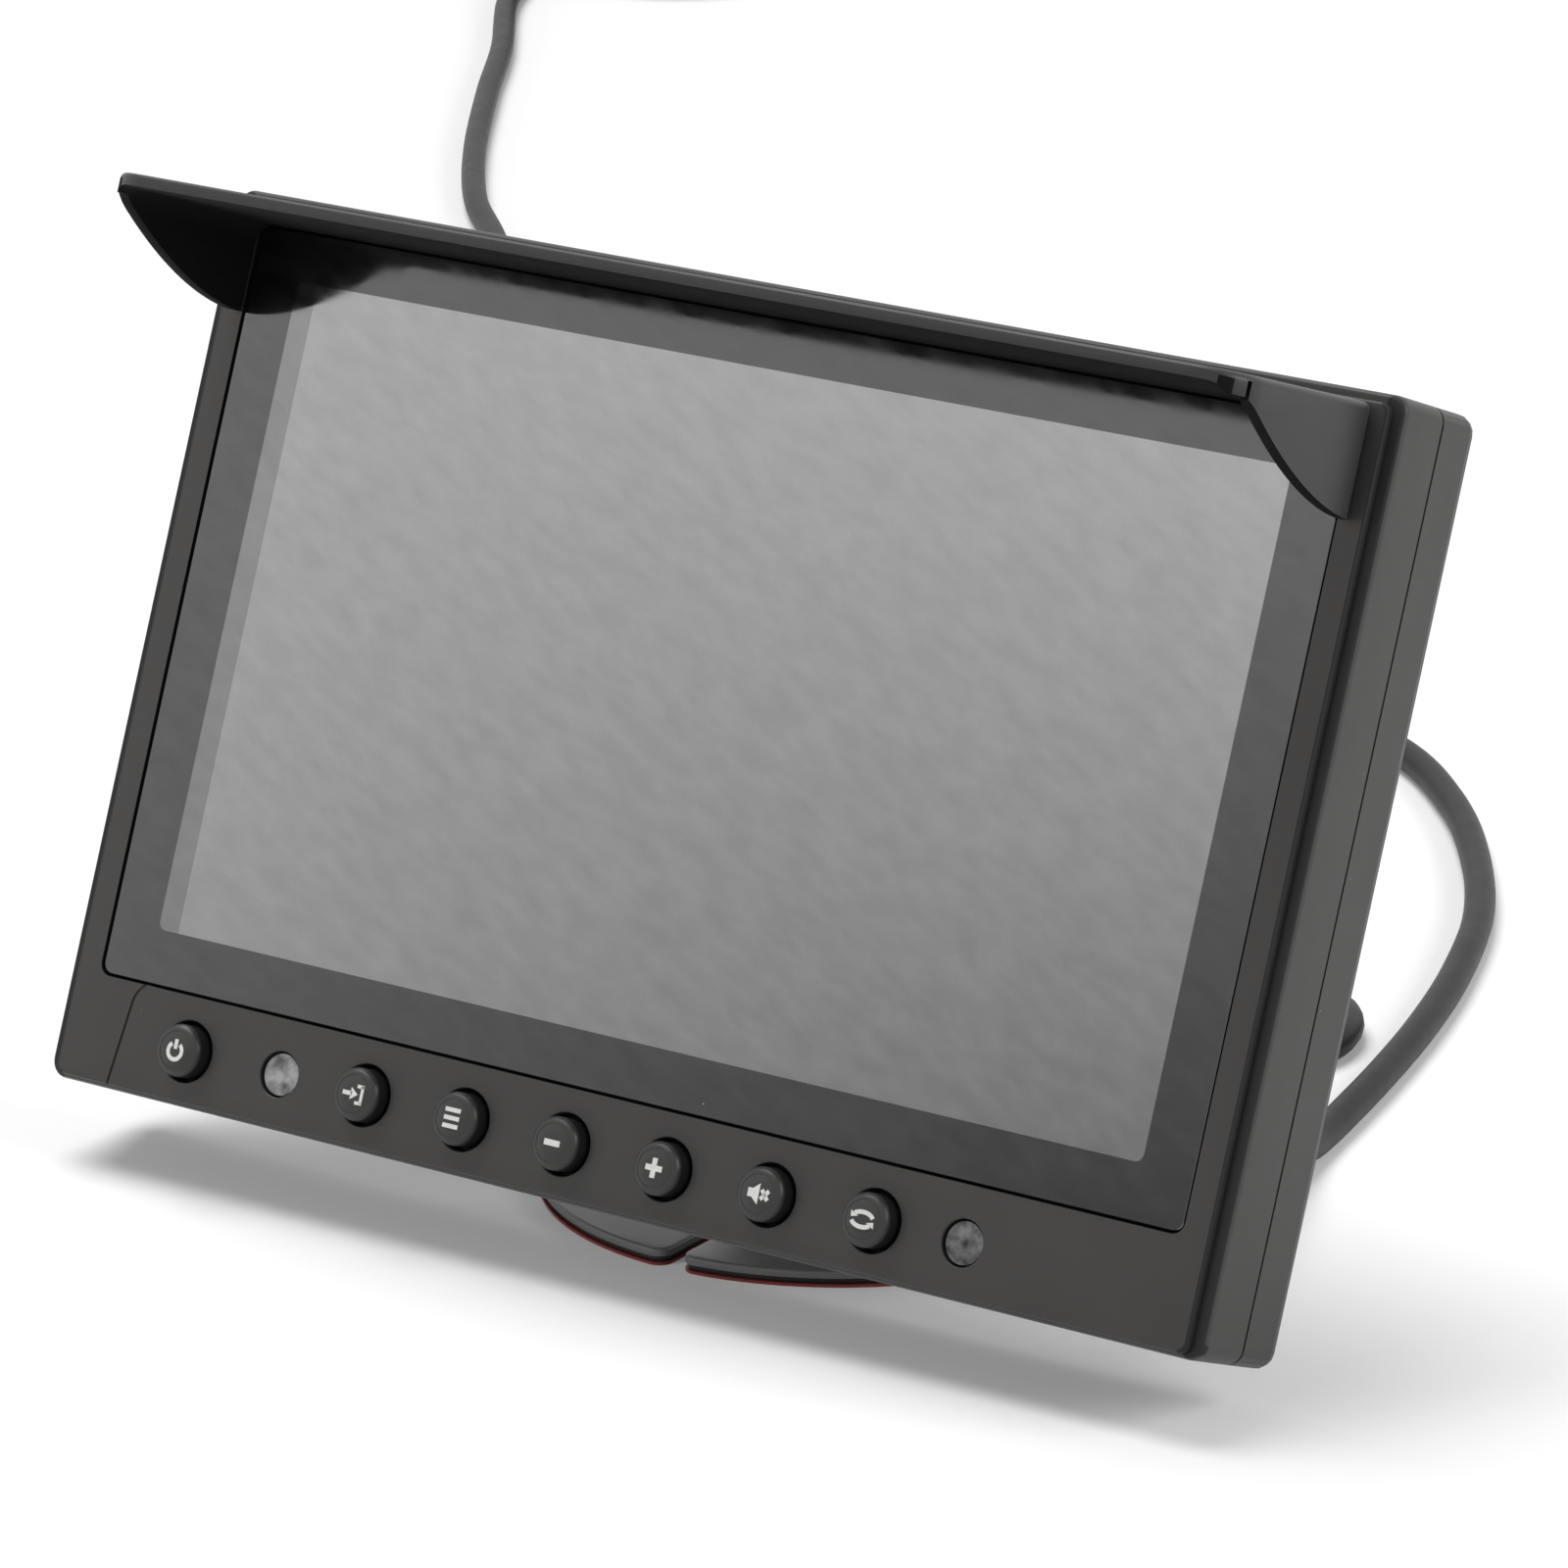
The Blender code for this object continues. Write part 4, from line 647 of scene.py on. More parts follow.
def make_bezel():
    """Front half of the housing: raised plate, stepped rim, glass pocket, holes and the fine groove."""
    low, high = span("front_bezel")
    housing = box_of(low, high)
    plate = (low.x + RIM_SIDE, high.x - RIM_SIDE, low.z + RIM_BOTTOM, high.z - RIM_END)
    face = low.y
    glass_low, glass_high = span("cover_glass")
    pocket = inset(box_of(glass_low, glass_high), -GLASS_GAP)
    ledge = glass_high.y + FIT
    plate_back = span("lcd_tray")[0].y - FIT
    rings = []
    for fall, draw in quarter(4):
        rings.append(rounded(inset(plate, PLATE_EDGE * draw), PLATE_CORNER, face + PLATE_EDGE * fall))
    rings.append(rounded(plate, PLATE_CORNER, face + RIM_STEP))
    for fall, draw in quarter(6):
        depth = RIM_STEP + RIM_ROUND * fall
        rings.append(rounded(inset(housing, RIM_BOTTOM * draw), HOUSING_CORNER, face + depth))
    rings.append(rounded(housing, HOUSING_CORNER, high.y - PARTING))
    rings.append(rounded(inset(housing, PARTING), HOUSING_CORNER, high.y))
    bezel = piece_of("bezel_skin", [rings])
    cut(bezel, [slab(inset(housing, WALL), HOUSING_CORNER, plate_back, high.y + SMALL)])
    corner = GLASS_CORNER + GLASS_GAP
    flare = POCKET_MOUTH + SMALL
    mouth = [rounded(inset(pocket, -flare), corner + flare, face - SMALL),
             rounded(pocket, corner, face + POCKET_MOUTH), rounded(pocket, corner, ledge)]
    cut(bezel, [mouth])
    opening = inset(box_of(*span("lcd_panel")), -FIT)
    cut(bezel, [slab(opening, GLASS_CORNER, face, plate_back + SMALL)])
    row_z = middle("button_power").z
    bores = [("button_" + key, CAP_RADIUS + CAP_GAP) for key in KEYS]
    bores += [(node, SENSOR_RADIUS + FIT) for node in SENSORS]
    cuts = [hole(face, plate_back + SMALL, radius, (middle(node).x, row_z)) for node, radius in bores]
    tongue_z = plate[3] - FIT - TONGUE_DROP - TONGUE_THICKNESS / 2
    for side in (-1, 1):
        slot = box_round(side * TONGUE_X, tongue_z, TONGUE_WIDTH + 2 * FIT, TONGUE_THICKNESS + 2 * FIT)
        cuts.append(slab(slot, FIT, face - SMALL, plate_back + SMALL, 2))
    cut(bezel, cuts)
    cut(bezel, [groove_cutter(plate, pocket, face)])
    dress(bezel, "monitor", "housing_plastic", "housing", "front_bezel")

    # Painted shade: the rim beside the plate's sides and corners, and the walls of the key and sensor holes
    def painted_shade_faces(centre):
        depth = centre.y - face
        rim = abs(centre.x) > plate[1] - PLATE_CORNER and 0.0 < depth < RIM_STEP + RIM_ROUND / 3
        bore = plate[2] + FIT < centre.z < pocket[2] - FIT and PLATE_EDGE < depth < plate_back - face
        return rim or bore

    # Painted black shade on the faces in the gap round the glass
    def painted_gap_shade(centre):
        across = abs(centre.x) < pocket[1] + FIT and pocket[2] - FIT < centre.z < pocket[3] + FIT
        return across and 0.0 < centre.y - face < plate_back - face

    # painted shade on the rim and in the holes, then painted black shade in the gap round the glass
    paint(bezel, "recess", painted_shade_faces)
    paint(bezel, "painted_shade_black", painted_gap_shade)


def groove_cutter(plate, pocket, face):
    """Fine line that closes the control strip's left end and bends into the glass gap."""
    foot_x = plate[0] + GROOVE_INSET
    bend_z = pocket[2] + GROOVE_WIDTH - GROOVE_BEND
    top_x = foot_x + GROOVE_LEAN
    half = GROOVE_WIDTH / 2
    outline = [(foot_x - half, plate[2] - SMALL)]
    outline += arc(top_x + GROOVE_BEND, bend_z, GROOVE_BEND + half, 180, 90, 12)
    outline += arc(top_x + GROOVE_BEND, bend_z, GROOVE_BEND - half, 90, 180, 12)
    outline.append((foot_x + half, plate[2] - SMALL))
    return front_prism(outline, face - SMALL, face + GROOVE_DEPTH)


def make_glass():
    """Cover glass with its printed border, the display's window in it and a duller strip at its left."""
    low, high = span("cover_glass")
    box = box_of(low, high)
    lcd = middle("lcd_panel")
    window = box_round(lcd.x, lcd.z, 2 * DISPLAY_HALF_X, 2 * DISPLAY_HALF_Z)
    strip_end = window[0] + DISPLAY_STRIP
    rings = [rounded(window, DISPLAY_CORNER, low.y), rounded(inset(box, GLASS_EDGE), GLASS_CORNER, low.y),
             rounded(box, GLASS_CORNER, low.y + GLASS_EDGE), rounded(box, GLASS_CORNER, high.y)]
    glass = piece_of("glass_sheet", [rings])

    def in_window(place):
        across = window[0] < place.x < window[1] and window[2] < place.z < window[3]
        return across and place.y < low.y + FIT / 10

    split(glass, (strip_end, 0.0, 0.0), (1.0, 0.0, 0.0), in_window)
    dress(glass, "monitor", "glass", "glass", "cover_glass", angle=20)
    paint(glass, "screen", in_window)
    paint(glass, "strip", lambda place: in_window(place) and place.x < strip_end)


# Keys

def cap_profile(top, bottom, flange, radius):
    """Key from its crowned top with a fine ring line, over its rounded edge, down to its flange."""
    profile = [(top + CAP_CROWN * share ** 2, RING_RADIUS * share) for share in (0.02, 0.3, 0.55)]
    ring_y = top + CAP_CROWN
    profile += [(ring_y, RING_RADIUS - RING_WIDTH), (ring_y + RING_DEPTH, RING_RADIUS - RING_WIDTH / 2),
                (ring_y, RING_RADIUS)]
    profile += [(ring_y + CAP_ROUND * fall, CAP_RADIUS - CAP_ROUND * draw) for fall, draw in quarter(5)]
    return profile + [(flange, CAP_RADIUS), (flange, radius), (bottom, radius)]


def stroke(points, width):
    """Outline of a line of even width through points."""
    left, right = [], []
    for i, here in enumerate(points):
        before = Vector(points[max(i - 1, 0)])
        after = Vector(points[min(i + 1, len(points) - 1)])
        along = (after - before).normalized()
        across = Vector((-along.y, along.x)) * width / 2
        left.append(Vector(here) + across)
        right.append(Vector(here) - across)
    return left + right[::-1]


def symbol(key):
    """Outlines of a key's printed symbol, in units of its scale round the key's centre."""
    line = SYMBOL_LINE
    thin = 0.8 * line
    bar = [(-0.9, -line / 2), (0.9, -line / 2), (0.9, line / 2), (-0.9, line / 2)]
    if key == "power":
        return [stroke(arc(0, -0.12, 0.82, 125, 415, 28), line), stroke([(0, 0.08), (0, 1.05)], line)]
    if key == "source":
        return [stroke([(0.4, 0.8), (1.2, 0.8)], thin), stroke([(1.05, 0.95), (1.05, -0.95)], thin),
                stroke([(0.4, -0.8), (1.2, -0.8)], thin), stroke([(-1.2, 0.0), (-0.1, 0.0)], line),
                [(-0.25, 0.6), (0.6, 0.0), (-0.25, -0.6)]]
    if key == "menu":
        return [[(x, z + rise) for x, z in bar] for rise in (-0.78, 0.0, 0.78)]
    if key == "minus":
        return [[(x, z * 1.4) for x, z in bar]]
    if key == "plus":
        return [cross(0.66 * line, 0.95)]
    if key == "mute":
        cone = [(-1.05, -0.42), (-0.55, -0.42), (0.2, -1.0), (0.2, 1.0), (-0.55, 0.42), (-1.05, 0.42)]
        bars = [[(0.45, -end), (1.25, end)] for end in (0.45, -0.45)]
        return [cone] + [stroke(points, line) for points in bars]
    return turning_arrows(1.22, 0.70, line)


def cross(half, reach):
    """Outline of a cross with arms of a half width and a reach."""
    return [(-half, -reach), (half, -reach), (half, -half), (reach, -half), (reach, half), (half, half),
            (half, reach), (-half, reach), (-half, half), (-reach, half), (-reach, -half), (-half, -half)]


def turning_arrows(wide, tall, line):
    """Two arrows that chase each other round a flat oval."""
    outlines = []
    for turn in (0, 180):
        bend = [(wide * cos(radians(turn + angle)), tall * sin(radians(turn + angle)))
                for angle in range(20, 141, 8)]
        outlines.append(stroke(bend, line))
        root = Vector(bend[-1])
        across = root.normalized() * 0.48
        tip = radians(turn + 175)
        outlines.append([root + across, (1.05 * wide * cos(tip), 1.1 * tall * sin(tip)), root - across])
    return outlines


def make_keys():
    """Seven keys, each with its printed symbol."""
    flange = span("lcd_tray")[0].y
    for key in KEYS:
        node = "button_" + key
        low, high, centre, radius = round_node(node)
        cap = piece_of("cap_" + key, [turned(cap_profile(low.y, high.y, flange, radius), centre)])
        dress(cap, key + "_button", "key_rubber", "keys", node, angle=50)
        # the key's side deep in its hole gets painted black shade
        paint(cap, "key_painted_shade", lambda place: place.y > low.y + CAP_SHADE_DEPTH)
        shells = []
        for outline in symbol(key):
            flat = [(centre[0] + x * SYMBOL_SCALE, centre[1] + z * SYMBOL_SCALE) for x, z in outline]
            shells.append(front_prism(flat, low.y - PRINT_PROUD, low.y + PRINT_SUNK))
        dress(piece_of("symbol_" + key, shells), key + "_button", "key_rubber", "print")


def make_sensors():
    """Two recessed windows with a slightly domed face."""
    flange = span("lcd_tray")[0].y
    for node in SENSORS:
        low, high, centre, radius = round_node(node)
        profile = [(low.y + SENSOR_DOME * share ** 2, SENSOR_RADIUS * share)
                   for share in (0.02, 0.35, 0.65, 0.88, 1.0)]
        profile += [(flange, SENSOR_RADIUS), (flange, radius), (high.y, radius)]
        lens = piece_of(node + "_lens", [turned(profile, centre)])
        dress(lens, "monitor", "sensor_window", node.split("_")[0], node, angle=45)


# Sun visor

def visor_plan(half, front):
    """Points round the visor seen from above: place, outward direction and roundness of the top edge."""
    back = VISOR_BACK_CORNER
    corner = VISOR_CORNER
    corners = ((half - back, FIT + back, back, -90), (half - corner, front - corner, corner, 0),
               (corner - half, front - corner, corner, 90), (back - half, FIT + back, back, 180))
    plan = []
    for x, reach, radius, start in corners:
        for step in range(17):
            angle = radians(start + 90 * step / 16)
            out = Vector((cos(angle), sin(angle)))
            edge = VISOR_EDGE + (VISOR_FRONT_EDGE - VISOR_EDGE) * max(out.y, 0.0) ** 2
            plan.append((Vector((x, reach)) + radius * out, out, edge))
    return plan


def make_visor():
    """Sun visor: sloping top with a rounded edge, curved wings, a slit and tongues, painted black shade
    inside.
    """
    plate_face = span("front_bezel")[0].y
    low, high = span("sun_visor")
    half = high.x
    front = FIT + VISOR_REACH
    below = low.z - SMALL

    def top(reach):
        return high.z - VISOR_SLOPE * reach / front

    def wing(reach):
        rise = VISOR_WING - VISOR_SLOPE - VISOR_TIP
        return high.z - VISOR_WING + rise * min(max(reach, 0.0) / WING_REACH, 1.0) ** WING_POWER

    plan = visor_plan(half, front)
    rings = [[(place.x, plate_face - place.y, below) for place, out, edge in plan]]
    for fall, draw in quarter(6):
        ring = []
        for place, out, edge in plan:
            here = place - out * edge * fall
            ring.append((here.x, plate_face - here.y, top(here.y) - edge * draw))
        rings.append(ring)
    visor = piece_of("visor_skin", [rings])
    reaches = [-SMALL] + [front * step / 40 for step in range(41)] + [front + SMALL]
    under = [(plate_face - reach, wing(reach)) for reach in reaches]
    under += [(plate_face - front - SMALL, below - SMALL), (plate_face + SMALL, below - SMALL)]
    cut(visor, [side_prism(under, -half - SMALL, half + SMALL)])
    inner = half - VISOR_WALL
    glass = span("cover_glass")[1]
    mouths = ((glass.x + GLASS_GAP, glass.z + GLASS_GAP, -SMALL),
              (inner, top(front) - VISOR_WALL, front + SMALL))
    inside = [rounded((-side, side, below - VISOR_INNER, ceiling), VISOR_INNER, plate_face - reach)
              for side, ceiling, reach in mouths]
    cut(visor, [inside])
    soften(visor, VISOR_SOFT, angle=50)
    cut(visor, [visor_slit(half, front, plate_face, below, top(front) - SLIT_BELOW)])
    tongue_z = high.z - TONGUE_DROP - TONGUE_THICKNESS / 2
    tongues = []
    for side in (-1, 1):
        box = box_round(side * TONGUE_X, tongue_z, TONGUE_WIDTH, TONGUE_THICKNESS)
        tongues.append(slab(box, FIT, plate_face - VISOR_WALL, high.y, 2))
    merge(visor, piece_of("tongues", tongues), "UNION")
    dress(visor, "visor", "visor_plastic", "visor", "sun_visor")

    # Painted black shade: the visor's inside, and a band along each wing's lower edge
    def shaded(centre):
        reach = plate_face - centre.y
        inside_walls = abs(centre.x) < inner + MOUTH and centre.z < top(reach) - VISOR_WALL + MOUTH
        return inside_walls or reach < WING_REACH + 2 * SMALL and centre.z < wing(reach) + MOUTH

    paint(visor, "painted_shade_black", shaded)


def visor_slit(half, front, plate_face, low, high):
    """Cutter for the slit across the visor's right corner, square to its wall."""
    centre_x = half - VISOR_CORNER
    centre_y = front - VISOR_CORNER
    out_x = cos(SLIT_ANGLE)
    out_y = sin(SLIT_ANGLE)
    wide = SLIT_WIDTH / 2
    inner = VISOR_CORNER - VISOR_WALL - SMALL
    outer = VISOR_CORNER + SMALL
    outline = [(centre_x + out_x * away - out_y * across, centre_y + out_y * away + out_x * across)
               for away, across in ((inner, -wide), (outer, -wide), (outer, wide), (inner, wide))]
    return [[(x, plate_face - y, z) for x, y in outline] for z in (low, high)]


# Foot

def petal_ring(shrink, z):
    """Outline of the petal foot, drawn in by shrink, at height z."""
    radius = FOOT_RADIUS - shrink
    half = SLOT_HALF + shrink
    corner = PETAL_CORNER - shrink
    side = half + corner
    reach = sqrt((radius - corner) ** 2 - side ** 2)
    swing = degrees(atan2(side, reach))
    share = 360 / PETALS
    turn = radians(share)
    outline = arc(SLOT_INNER, 0.0, half, 270, 90, 10)
    outline += arc(reach, side, corner, -90, swing, 8)
    outline += arc(0.0, 0.0, radius, swing, share - swing, 28)[1:-1]
    outline += [(x * cos(turn) + y * sin(turn), x * sin(turn) - y * cos(turn))
                for x, y in arc(reach, side, corner, swing, -90, 8)]
    ring = []
    for petal in range(PETALS):
        angle = petal * turn + FOOT_TURN
        ring += [(x * cos(angle) - y * sin(angle), x * sin(angle) + y * cos(angle), z) for x, y in outline]
    return ring


def make_foot():
    """Petal foot with its hub and fork, the foam pad and the red liner under it."""
    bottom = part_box("base_foot")[0].z
    foot_top = bottom + FOOT_THICKNESS
    rings = [petal_ring(0.0, bottom)]
    rings += [petal_ring(FOOT_EDGE * fall, foot_top - FOOT_EDGE * draw) for fall, draw in quarter(3)]
    foot = piece_of("foot_skin", [rings], GROUND)
    root = (bottom + foot_top) / 2
    hub_top = foot_top + HUB_HEIGHT
    hub = [(root, HUB_BASE)]
    for share in (0.0, 0.25, 0.5, 0.75, 1.0):
        hub.append((foot_top + HUB_FLARE * share ** 2, HUB_BASE - HUB_EDGE * share))
    hub += [(hub_top - HUB_EDGE, HUB_TOP), (hub_top - HUB_EDGE / 4, HUB_TOP - HUB_EDGE * 3 / 8),
            (hub_top, HUB_TOP - HUB_EDGE)]
    merge(foot, piece_of("hub", [turned(hub, axis="Z", sides=72)], GROUND), "UNION")
    outline = [(-EAR_BASE, root), (EAR_BASE, root)] + arc(0.0, PIVOT.z, EAR_RADIUS, 0, 180, 32)
    for side in (-1, 1):
        ear = piece_of("ear", [side_prism(outline, side * EAR_INSIDE, side * EAR_OUTSIDE)], GROUND)
        soften(ear, EAR_EDGE, 3)
        merge(foot, ear, "UNION")
    ends = [(-EAR_OUTSIDE - SMALL, BOLT_BORE), (EAR_OUTSIDE + SMALL, BOLT_BORE)]
    cut(foot, [turned(ends, (0.0, PIVOT.z), "X", 32)])
    # the foot's lighter grey is painted light, standing in for light on its shaded petals
    dress(foot, "foot", "stand_plastic", "foot", "base_foot")
    layers = (("pad_skin", FOOT_EDGE, "adhesive_foam", "foam", "adhesive_pad"),
              ("liner_skin", 0.0, "liner_film", "liner", "release_liner"))
    for name, shrink, slot, look, node in layers:
        rings = [petal_ring(shrink, corner.z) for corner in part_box(node)]
        dress(piece_of(name, [rings], GROUND), "foot", slot, look, node)


# Cable

def smooth_path(points, spacing):
    """Points at about even spacing on a smooth curve through the given ones."""
    ends = [2 * points[0] - points[1]] + points + [2 * points[-1] - points[-2]]
    fine = []
    for before, start, end, after in zip(ends, ends[1:], ends[2:], ends[3:]):
        for step in range(20):
            t = step / 20
            square = 2 * before - 5 * start + 4 * end - after
            cube = 3 * start - before - 3 * end + after
            fine.append(0.5 * (2 * start + (end - before) * t + square * t ** 2 + cube * t ** 3))
    fine.append(points[-1])
    lengths = [0.0]
    for start, end in zip(fine, fine[1:]):
        lengths.append(lengths[-1] + (end - start).length)
    count = max(2, round(lengths[-1] / spacing))
    path = []
    place_on = 0
    for step in range(count + 1):
        wanted = lengths[-1] * step / count
        while place_on < len(fine) - 2 and lengths[place_on + 1] < wanted:
            place_on += 1
        share = (wanted - lengths[place_on]) / (lengths[place_on + 1] - lengths[place_on])
        path.append(fine[place_on].lerp(fine[place_on + 1], share))
    return path


def coil_path(centre, heading, right):
    """Loops that spiral in on the lower layer, climb where the spiral turns back, and out on the upper."""
    steps = round(COIL_TURNS * LOOP_POINTS)
    path = []
    for step in range(steps + 1):
        turns = COIL_TURNS * step / steps
        radius = COIL_INNER + COIL_PITCH * abs(turns - COIL_REVERSE)
        climb = min(max((turns - COIL_REVERSE + 0.25) / 0.5, 0.0), 1.0)
        height = COIL_LOW + (COIL_HIGH - COIL_LOW) * climb * climb * (3 - 2 * climb)
        angle = 2 * pi * turns
        flat = centre + radius * (heading * sin(angle) - right * cos(angle))
        path.append(Vector((flat.x, flat.y, height)))
    return path


def tube_rings(path, radius, sides):
    """Rings round a path, carried along it without twist."""
    rings = []
    across = None
    for i, here in enumerate(path):
        along = (path[min(i + 1, len(path) - 1)] - path[max(i - 1, 0)]).normalized()
        if across is None:
            across = along.orthogonal().normalized()
        across = (across - along * across.dot(along)).normalized()
        up = along.cross(across)
        rings.append([here + radius * (across * cos(2 * pi * k / sides)
                                       + up * sin(2 * pi * k / sides)) for k in range(sides)])
    return rings


def make_cable():
    """Cable from the gland to the floor, over the floor, and into its coil with the plug."""
    gland_end, gland = round_node("cable_gland")[1:3]
    exit_point = MONITOR @ Vector((gland[0], gland_end.y + FIT, gland[1]))
    route = [exit_point, exit_point + INTO * CABLE_DIAMETER] + [Vector(point) for point in RISER_ROUTE]
    floor = [Vector((x, y, CABLE_RADIUS)) for x, y in FLOOR_ROUTE]
    coil_start = Vector((*COIL_START, COIL_LOW))
    heading = (coil_start - floor[-1]).xy.normalized()
    before_coil = coil_start - Vector((*heading, 0.0)) * 2 * CABLE_DIAMETER
    riser = smooth_path(route, TUBE_STEP)
    run = smooth_path([riser[-1]] + floor + [before_coil, coil_start], TUBE_STEP)
    right = Vector((heading.y, -heading.x))
    centre = coil_start.xy + heading * (FIT + CABLE_DIAMETER) + right * COIL_RADIUS
    coil = coil_path(centre, heading, right)
    tail = coil[-1] + Vector((*right, 0.0)) * COIL_TAIL
    path = riser[:-1] + run + coil + [coil[-1].lerp(tail, 0.5), tail]
    for point in path:
        point.z = max(point.z, CABLE_RADIUS)
    cable = piece_of("cable", [tube_rings(path, CABLE_RADIUS, TUBE_SIDES)], GROUND)
    coat(cable, "cable", 60)
    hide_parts("cable_riser", "cable_run", "cable_coil")
    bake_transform(cable)
    on_cable = make_plug(tail, Vector((*right, 0.0)))
    on_cable.append(make_tie(centre, right, path))


def make_tie(centre, right, path):
    """Woven band drawn tight round the coil's turns."""
    place = Matrix.Translation((*centre, 0.0)) @ Matrix.Rotation(atan2(right.y, right.x), 4, "Z")
    low, high = span("coil_tie", place)
    back = place.inverted()
    local = [back @ point for point in path]
    turns = [((here.x + after.x) / 2, (here.z + after.z) / 2) for here, after in zip(local, local[1:])
             if here.y * after.y <= 0.0 and low.x < here.x < high.x]

    def band(radius, y):
        ring = []
        for i in range(TIE_SIDES):
            angle = 2 * pi * i / TIE_SIDES
            out = Vector((cos(angle), sin(angle)))
            far = Vector(max(turns, key=out.dot)) + radius * out
            ring.append((far.x, y, far.y))
        return ring

    inner = CABLE_RADIUS + FIT
    outer = inner + TIE_THICKNESS
    rings = [band(outer, low.y), band(outer, high.y), band(inner, high.y), band(inner, low.y)]
    tie = piece_of("tie_band", [rings], place, True)
    return dress(tie, "foot", "tie_nylon", "tie", "coil_tie")


def ribbed(start, end, first, last, shares, groove):
    """Profile of a tapering sleeve with ribs and grooves."""
    profile = []
    for rib in range(RIBS):
        for share, sunk in zip(shares, (0.0, 0.0, groove, groove)):
            along = (rib + share) / RIBS
            profile.append((start + (end - start) * along, first + (last - first) * along - sunk))
    return profile


def make_plug(start, along):
    """Ribbed boot, plug body with its pin holes, and the knurled coupling nut."""
    place = Matrix.Translation(start) @ along.to_track_quat("Z", "Y").to_matrix().to_4x4()
    low, high = span("plug_boot", place)
    profile = ribbed(low.z, high.z, BOOT_SLIM, BOOT_WIDE, BOOT_SHARES, BOOT_GROOVE)
    profile = [(low.z - FIT, BOOT_SLIM)] + profile + [(high.z + FIT, BOOT_WIDE)]
    boot = piece_of("boot_skin", [turned(profile, axis="Z", sides=32)], place)
    dress(boot, "foot", "cable_rubber", "cable", "plug_boot")
    low, high = span("plug_body", place)
    radius = high.x
    profile = [(low.z, radius - PLUG_EDGE), (low.z + PLUG_EDGE, radius),
               (high.z - PLUG_EDGE, radius), (high.z, radius - PLUG_EDGE)]
    body = piece_of("plug_skin", [turned(profile, axis="Z")], place)
    pins = []
    for pin in range(PINS):
        angle = 2 * pi * (pin + 0.5) / PINS
        centre = (PIN_CIRCLE * cos(angle), PIN_CIRCLE * sin(angle))
        pins.append(turned([(high.z - PIN_DEPTH, PIN_RADIUS), (high.z + SMALL, PIN_RADIUS)], centre, "Z", 20))
    cut(body, pins)
    dress(body, "foot", "plug_plastic", "plug", "plug_body")
    low, high = span("plug_nut", place)
    bore = [radius + FIT] * 4 * NUT_FLUTES
    rim = [high.x - NUT_EDGE] * 4 * NUT_FLUTES
    flutes = [high.x - FLUTE_DEPTH, high.x - FLUTE_DEPTH, high.x, high.x] * NUT_FLUTES
    rings = [lobed(bore, low.z), lobed(rim, low.z), lobed(flutes, low.z + NUT_EDGE),
             lobed(flutes, high.z - NUT_EDGE), lobed(rim, high.z), lobed(bore, high.z)]
    nut = piece_of("nut_skin", [rings], place, True)
    dress(nut, "coupling_nut", "plug_plastic", "plug", "plug_nut", angle=25)
    return [boot, body, nut]


def make_gland():
    """Strain relief with a flange and ribs."""
    low, high, centre, flange = round_node("cable_gland")
    seat = low.y + GLAND_SEAT
    front = seat + GLAND_FLANGE
    profile = [(low.y, GLAND_NECK), (seat, GLAND_NECK), (seat, flange - GLAND_EDGE),
               (seat + GLAND_EDGE, flange), (front - GLAND_CHAMFER, flange), (front, flange - GLAND_CHAMFER)]
    profile += ribbed(front, high.y, GLAND_WIDE, GLAND_SLIM, GLAND_SHARES, GLAND_GROOVE)
    profile.append((high.y + FIT, GLAND_END))
    gland = piece_of("gland_skin", [turned(profile, centre)])
    dress(gland, "monitor", "cable_rubber", "cable", "cable_gland")


def make_knob():
    """Lobed clamping knob with a dished end."""
    low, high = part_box("tilt_knob")
    place = Matrix.Translation(PIVOT)
    sides = 24 * KNOB_LOBES
    dips = [KNOB_LOBE / 2 * (1 - cos(2 * pi * KNOB_LOBES * i / sides)) for i in range(sides)]
    ends = [(low.x + depth, draw) for depth, draw in KNOB_NEAR]
    ends += [(high.x - depth, draw) for depth, draw in KNOB_FAR]
    rings = [lobed([high.y - draw - dip for dip in dips], at, axis="X") for at, draw in ends]
    knob = piece_of("knob_skin", [rings], place)
    bore = span("pivot_bolt", place)[1].x + FIT
    cut(knob, [turned([(low.x - SMALL, BOLT_BORE), (bore, BOLT_BORE)], axis="X", sides=32)])
    dress(knob, "knob", "stand_plastic", "stand", "tilt_knob")


# Screws

def make_screws():
    """Pan-head screws of the housing and the arm, with a cross recess."""
    for kind, shank, height in SCREWS:
        for number in range(1, 5):
            node = f"{kind}_screw_{number}"
            low, high, centre, radius = round_node(node)
            head = high.y - height
            profile = [(low.y, shank / 2), (low.y + shank, shank), (head, shank), (head, radius)]
            for fall, draw in quarter(5):
                profile.append((head + height * (1 - SCREW_CROWN * draw), radius * (1 - SCREW_CROWN * fall)))
            screw = piece_of(node + "_head", [turned(profile, centre, sides=32)])
            recess = [(centre[0] + x, centre[1] + z)
                      for x, z in cross(SCREW_BLADE * radius, SCREW_CROWN * radius)]
            cut(screw, [front_prism(recess, high.y - SCREW_CROWN * height, high.y + SMALL)])
            dress(screw, "monitor", "screw_steel", "steel", node)


# Kept solids and stage

def finish_solids():
    """Better materials on the solids that stay."""
    kept = {"housing": ["rear_shell"], "stand": ["tilt_arm"], "steel": ["pivot_bolt", "pivot_washer"],
            "display": ["lcd_panel"], "tray": ["lcd_tray"], "board": ["main_board", "button_board"],
            "chip": ["video_chip", "remote_receiver", "light_sensor"], "header": ["cable_header"],
            "ferrite": ["power_inductor", "speaker"], "switch": ["switch_" + key for key in KEYS]}
    for look, nodes in kept.items():
        for node in nodes:
            coat(frame["nodes"][node], look)


def aim(made, place, target):
    made.location = place
    made.rotation_mode = "QUATERNION"
    made.rotation_quaternion = (Vector(target) - Vector(place)).to_track_quat("-Z", "Y")


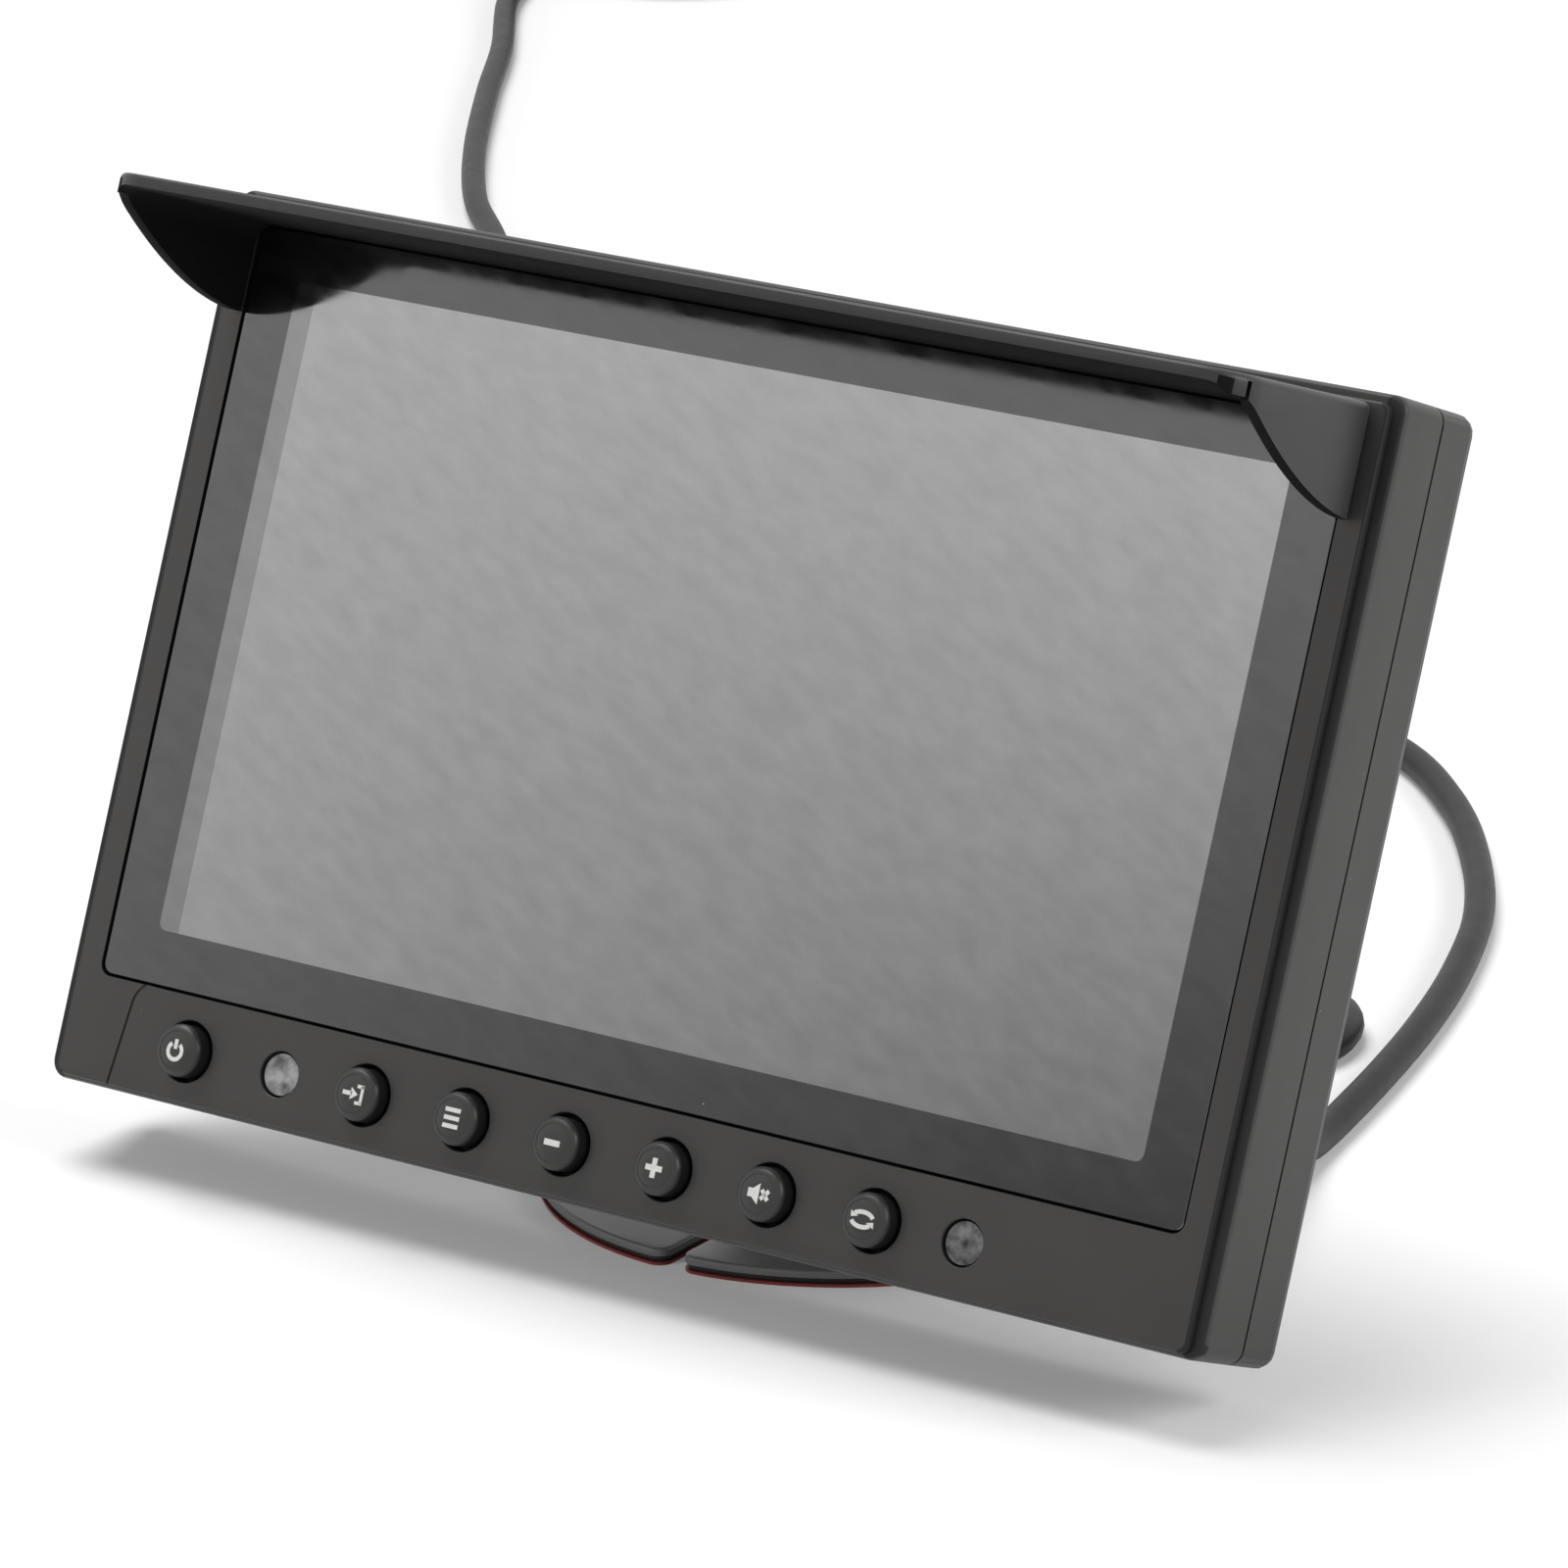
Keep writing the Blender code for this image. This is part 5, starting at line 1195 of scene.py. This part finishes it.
def make_camera():
    data = bpy.data.cameras.new("camera")
    data.sensor_width = SENSOR_WIDTH
    data.lens = FOCAL_PIXELS / IMAGE_PIXELS * SENSOR_WIDTH
    data.clip_start = CLIP_NEAR
    data.clip_end = CLIP_FAR
    camera = put("camera", data)
    flat = cos(CAMERA_ELEVATION)
    back = Vector((sin(CAMERA_AZIMUTH) * flat, -cos(CAMERA_AZIMUTH) * flat, sin(CAMERA_ELEVATION)))
    aim(camera, CAMERA_PLACE, Vector(CAMERA_PLACE) - back)
    bpy.context.scene.camera = camera


def make_lamps():
    """Soft lamps; gloss doesn't mirror the key lamp."""
    for name, (kind, place, target, power, settings) in LAMPS.items():
        data = bpy.data.lights.new(name, kind)
        data.energy = power
        for setting, value in settings.items():
            setattr(data, setting, value)
        lamp = put(name, data)
        aim(lamp, place, target)
        lamp.visible_camera = False
        lamp.visible_glossy = name != "key"


def flat_sheet(name, half_x, half_y, look):
    """Flat part of the stage."""
    mesh = bpy.data.meshes.new(name)
    corners = [(-half_x, -half_y, 0.0), (half_x, -half_y, 0.0), (half_x, half_y, 0.0), (-half_x, half_y, 0.0)]
    mesh.from_pydata(corners, [], [(0, 1, 2, 3)])
    mesh.materials.append(LOOKS[look])
    made = put(name, mesh)
    return made


def make_card():
    """Board that only gloss mirrors, bright at its upper left and dim at its lower right."""
    tree, shader = new_material("card")
    place = add(tree, "TexCoord").outputs["Object"]
    slope = add(tree, "VectorMath", {0: place, 1: CARD_RISE}, operation="DOT_PRODUCT").outputs["Value"]
    axes = add(tree, "SeparateXYZ", {"Vector": place}).outputs
    rise = maths(tree, "MULTIPLY_ADD", maths(tree, "MULTIPLY", axes["X"], axes["Y"]), CARD_TWIST, slope)
    glow = between(tree, rise, CARD_DIM, CARD_BRIGHT, CARD_DIM - 1.0, CARD_BRIGHT - 1.0)
    feed(tree, shader, {"Base Color": grey(0.0), "Emission Color": grey(1.0), "Emission Strength": glow})
    screen = MONITOR @ middle("cover_glass")
    to_camera = (Vector(CAMERA_PLACE) - screen).normalized()
    out = -INTO
    mirrored = 2 * out.dot(to_camera) * out - to_camera
    card = flat_sheet("card", *CARD_HALF, "card")
    aim(card, screen + CARD_DISTANCE * mirrored, screen)
    card.visible_camera = False
    card.visible_diffuse = False
    card.visible_shadow = False


def seen_rays(tree):
    """1 for rays that show a surface itself, 0 for those that only light another."""
    rays = add(tree, "LightPath").outputs
    shown = maths(tree, "MAXIMUM", rays["Is Camera Ray"], rays["Is Glossy Ray"])
    return maths(tree, "MAXIMUM", shown, rays["Is Transmission Ray"])


def make_stage():
    """White floor that keeps the shadow, white surroundings, the card and the lamps."""
    tree, shader = new_material("paper")
    feed(tree, shader, {"Base Color": grey(FLOOR_GREY), "Roughness": 0.9, "Specular IOR Level": 0.1,
                        "Emission Color": grey(1.0),
                        "Emission Strength": between(tree, seen_rays(tree), 0.0, FLOOR_GLOW)})
    flat_sheet("floor", FLOOR_HALF, FLOOR_HALF, "paper")
    world = bpy.data.worlds.new("world")
    bpy.context.scene.world = world
    world.use_nodes = True
    tree = world.node_tree
    sky = between(tree, seen_rays(tree), AMBIENT, 1.0)
    feed(tree, tree.nodes["Background"], {"Color": grey(1.0), "Strength": sky})
    make_card()
    make_lamps()


bpy.context.scene.view_settings.view_transform = "Standard"
make_camera()
make_cable()
make_bezel()
make_glass()
make_keys()
make_sensors()
make_visor()
make_gland()
make_foot()
make_knob()
make_screws()
finish_solids()
make_stage()
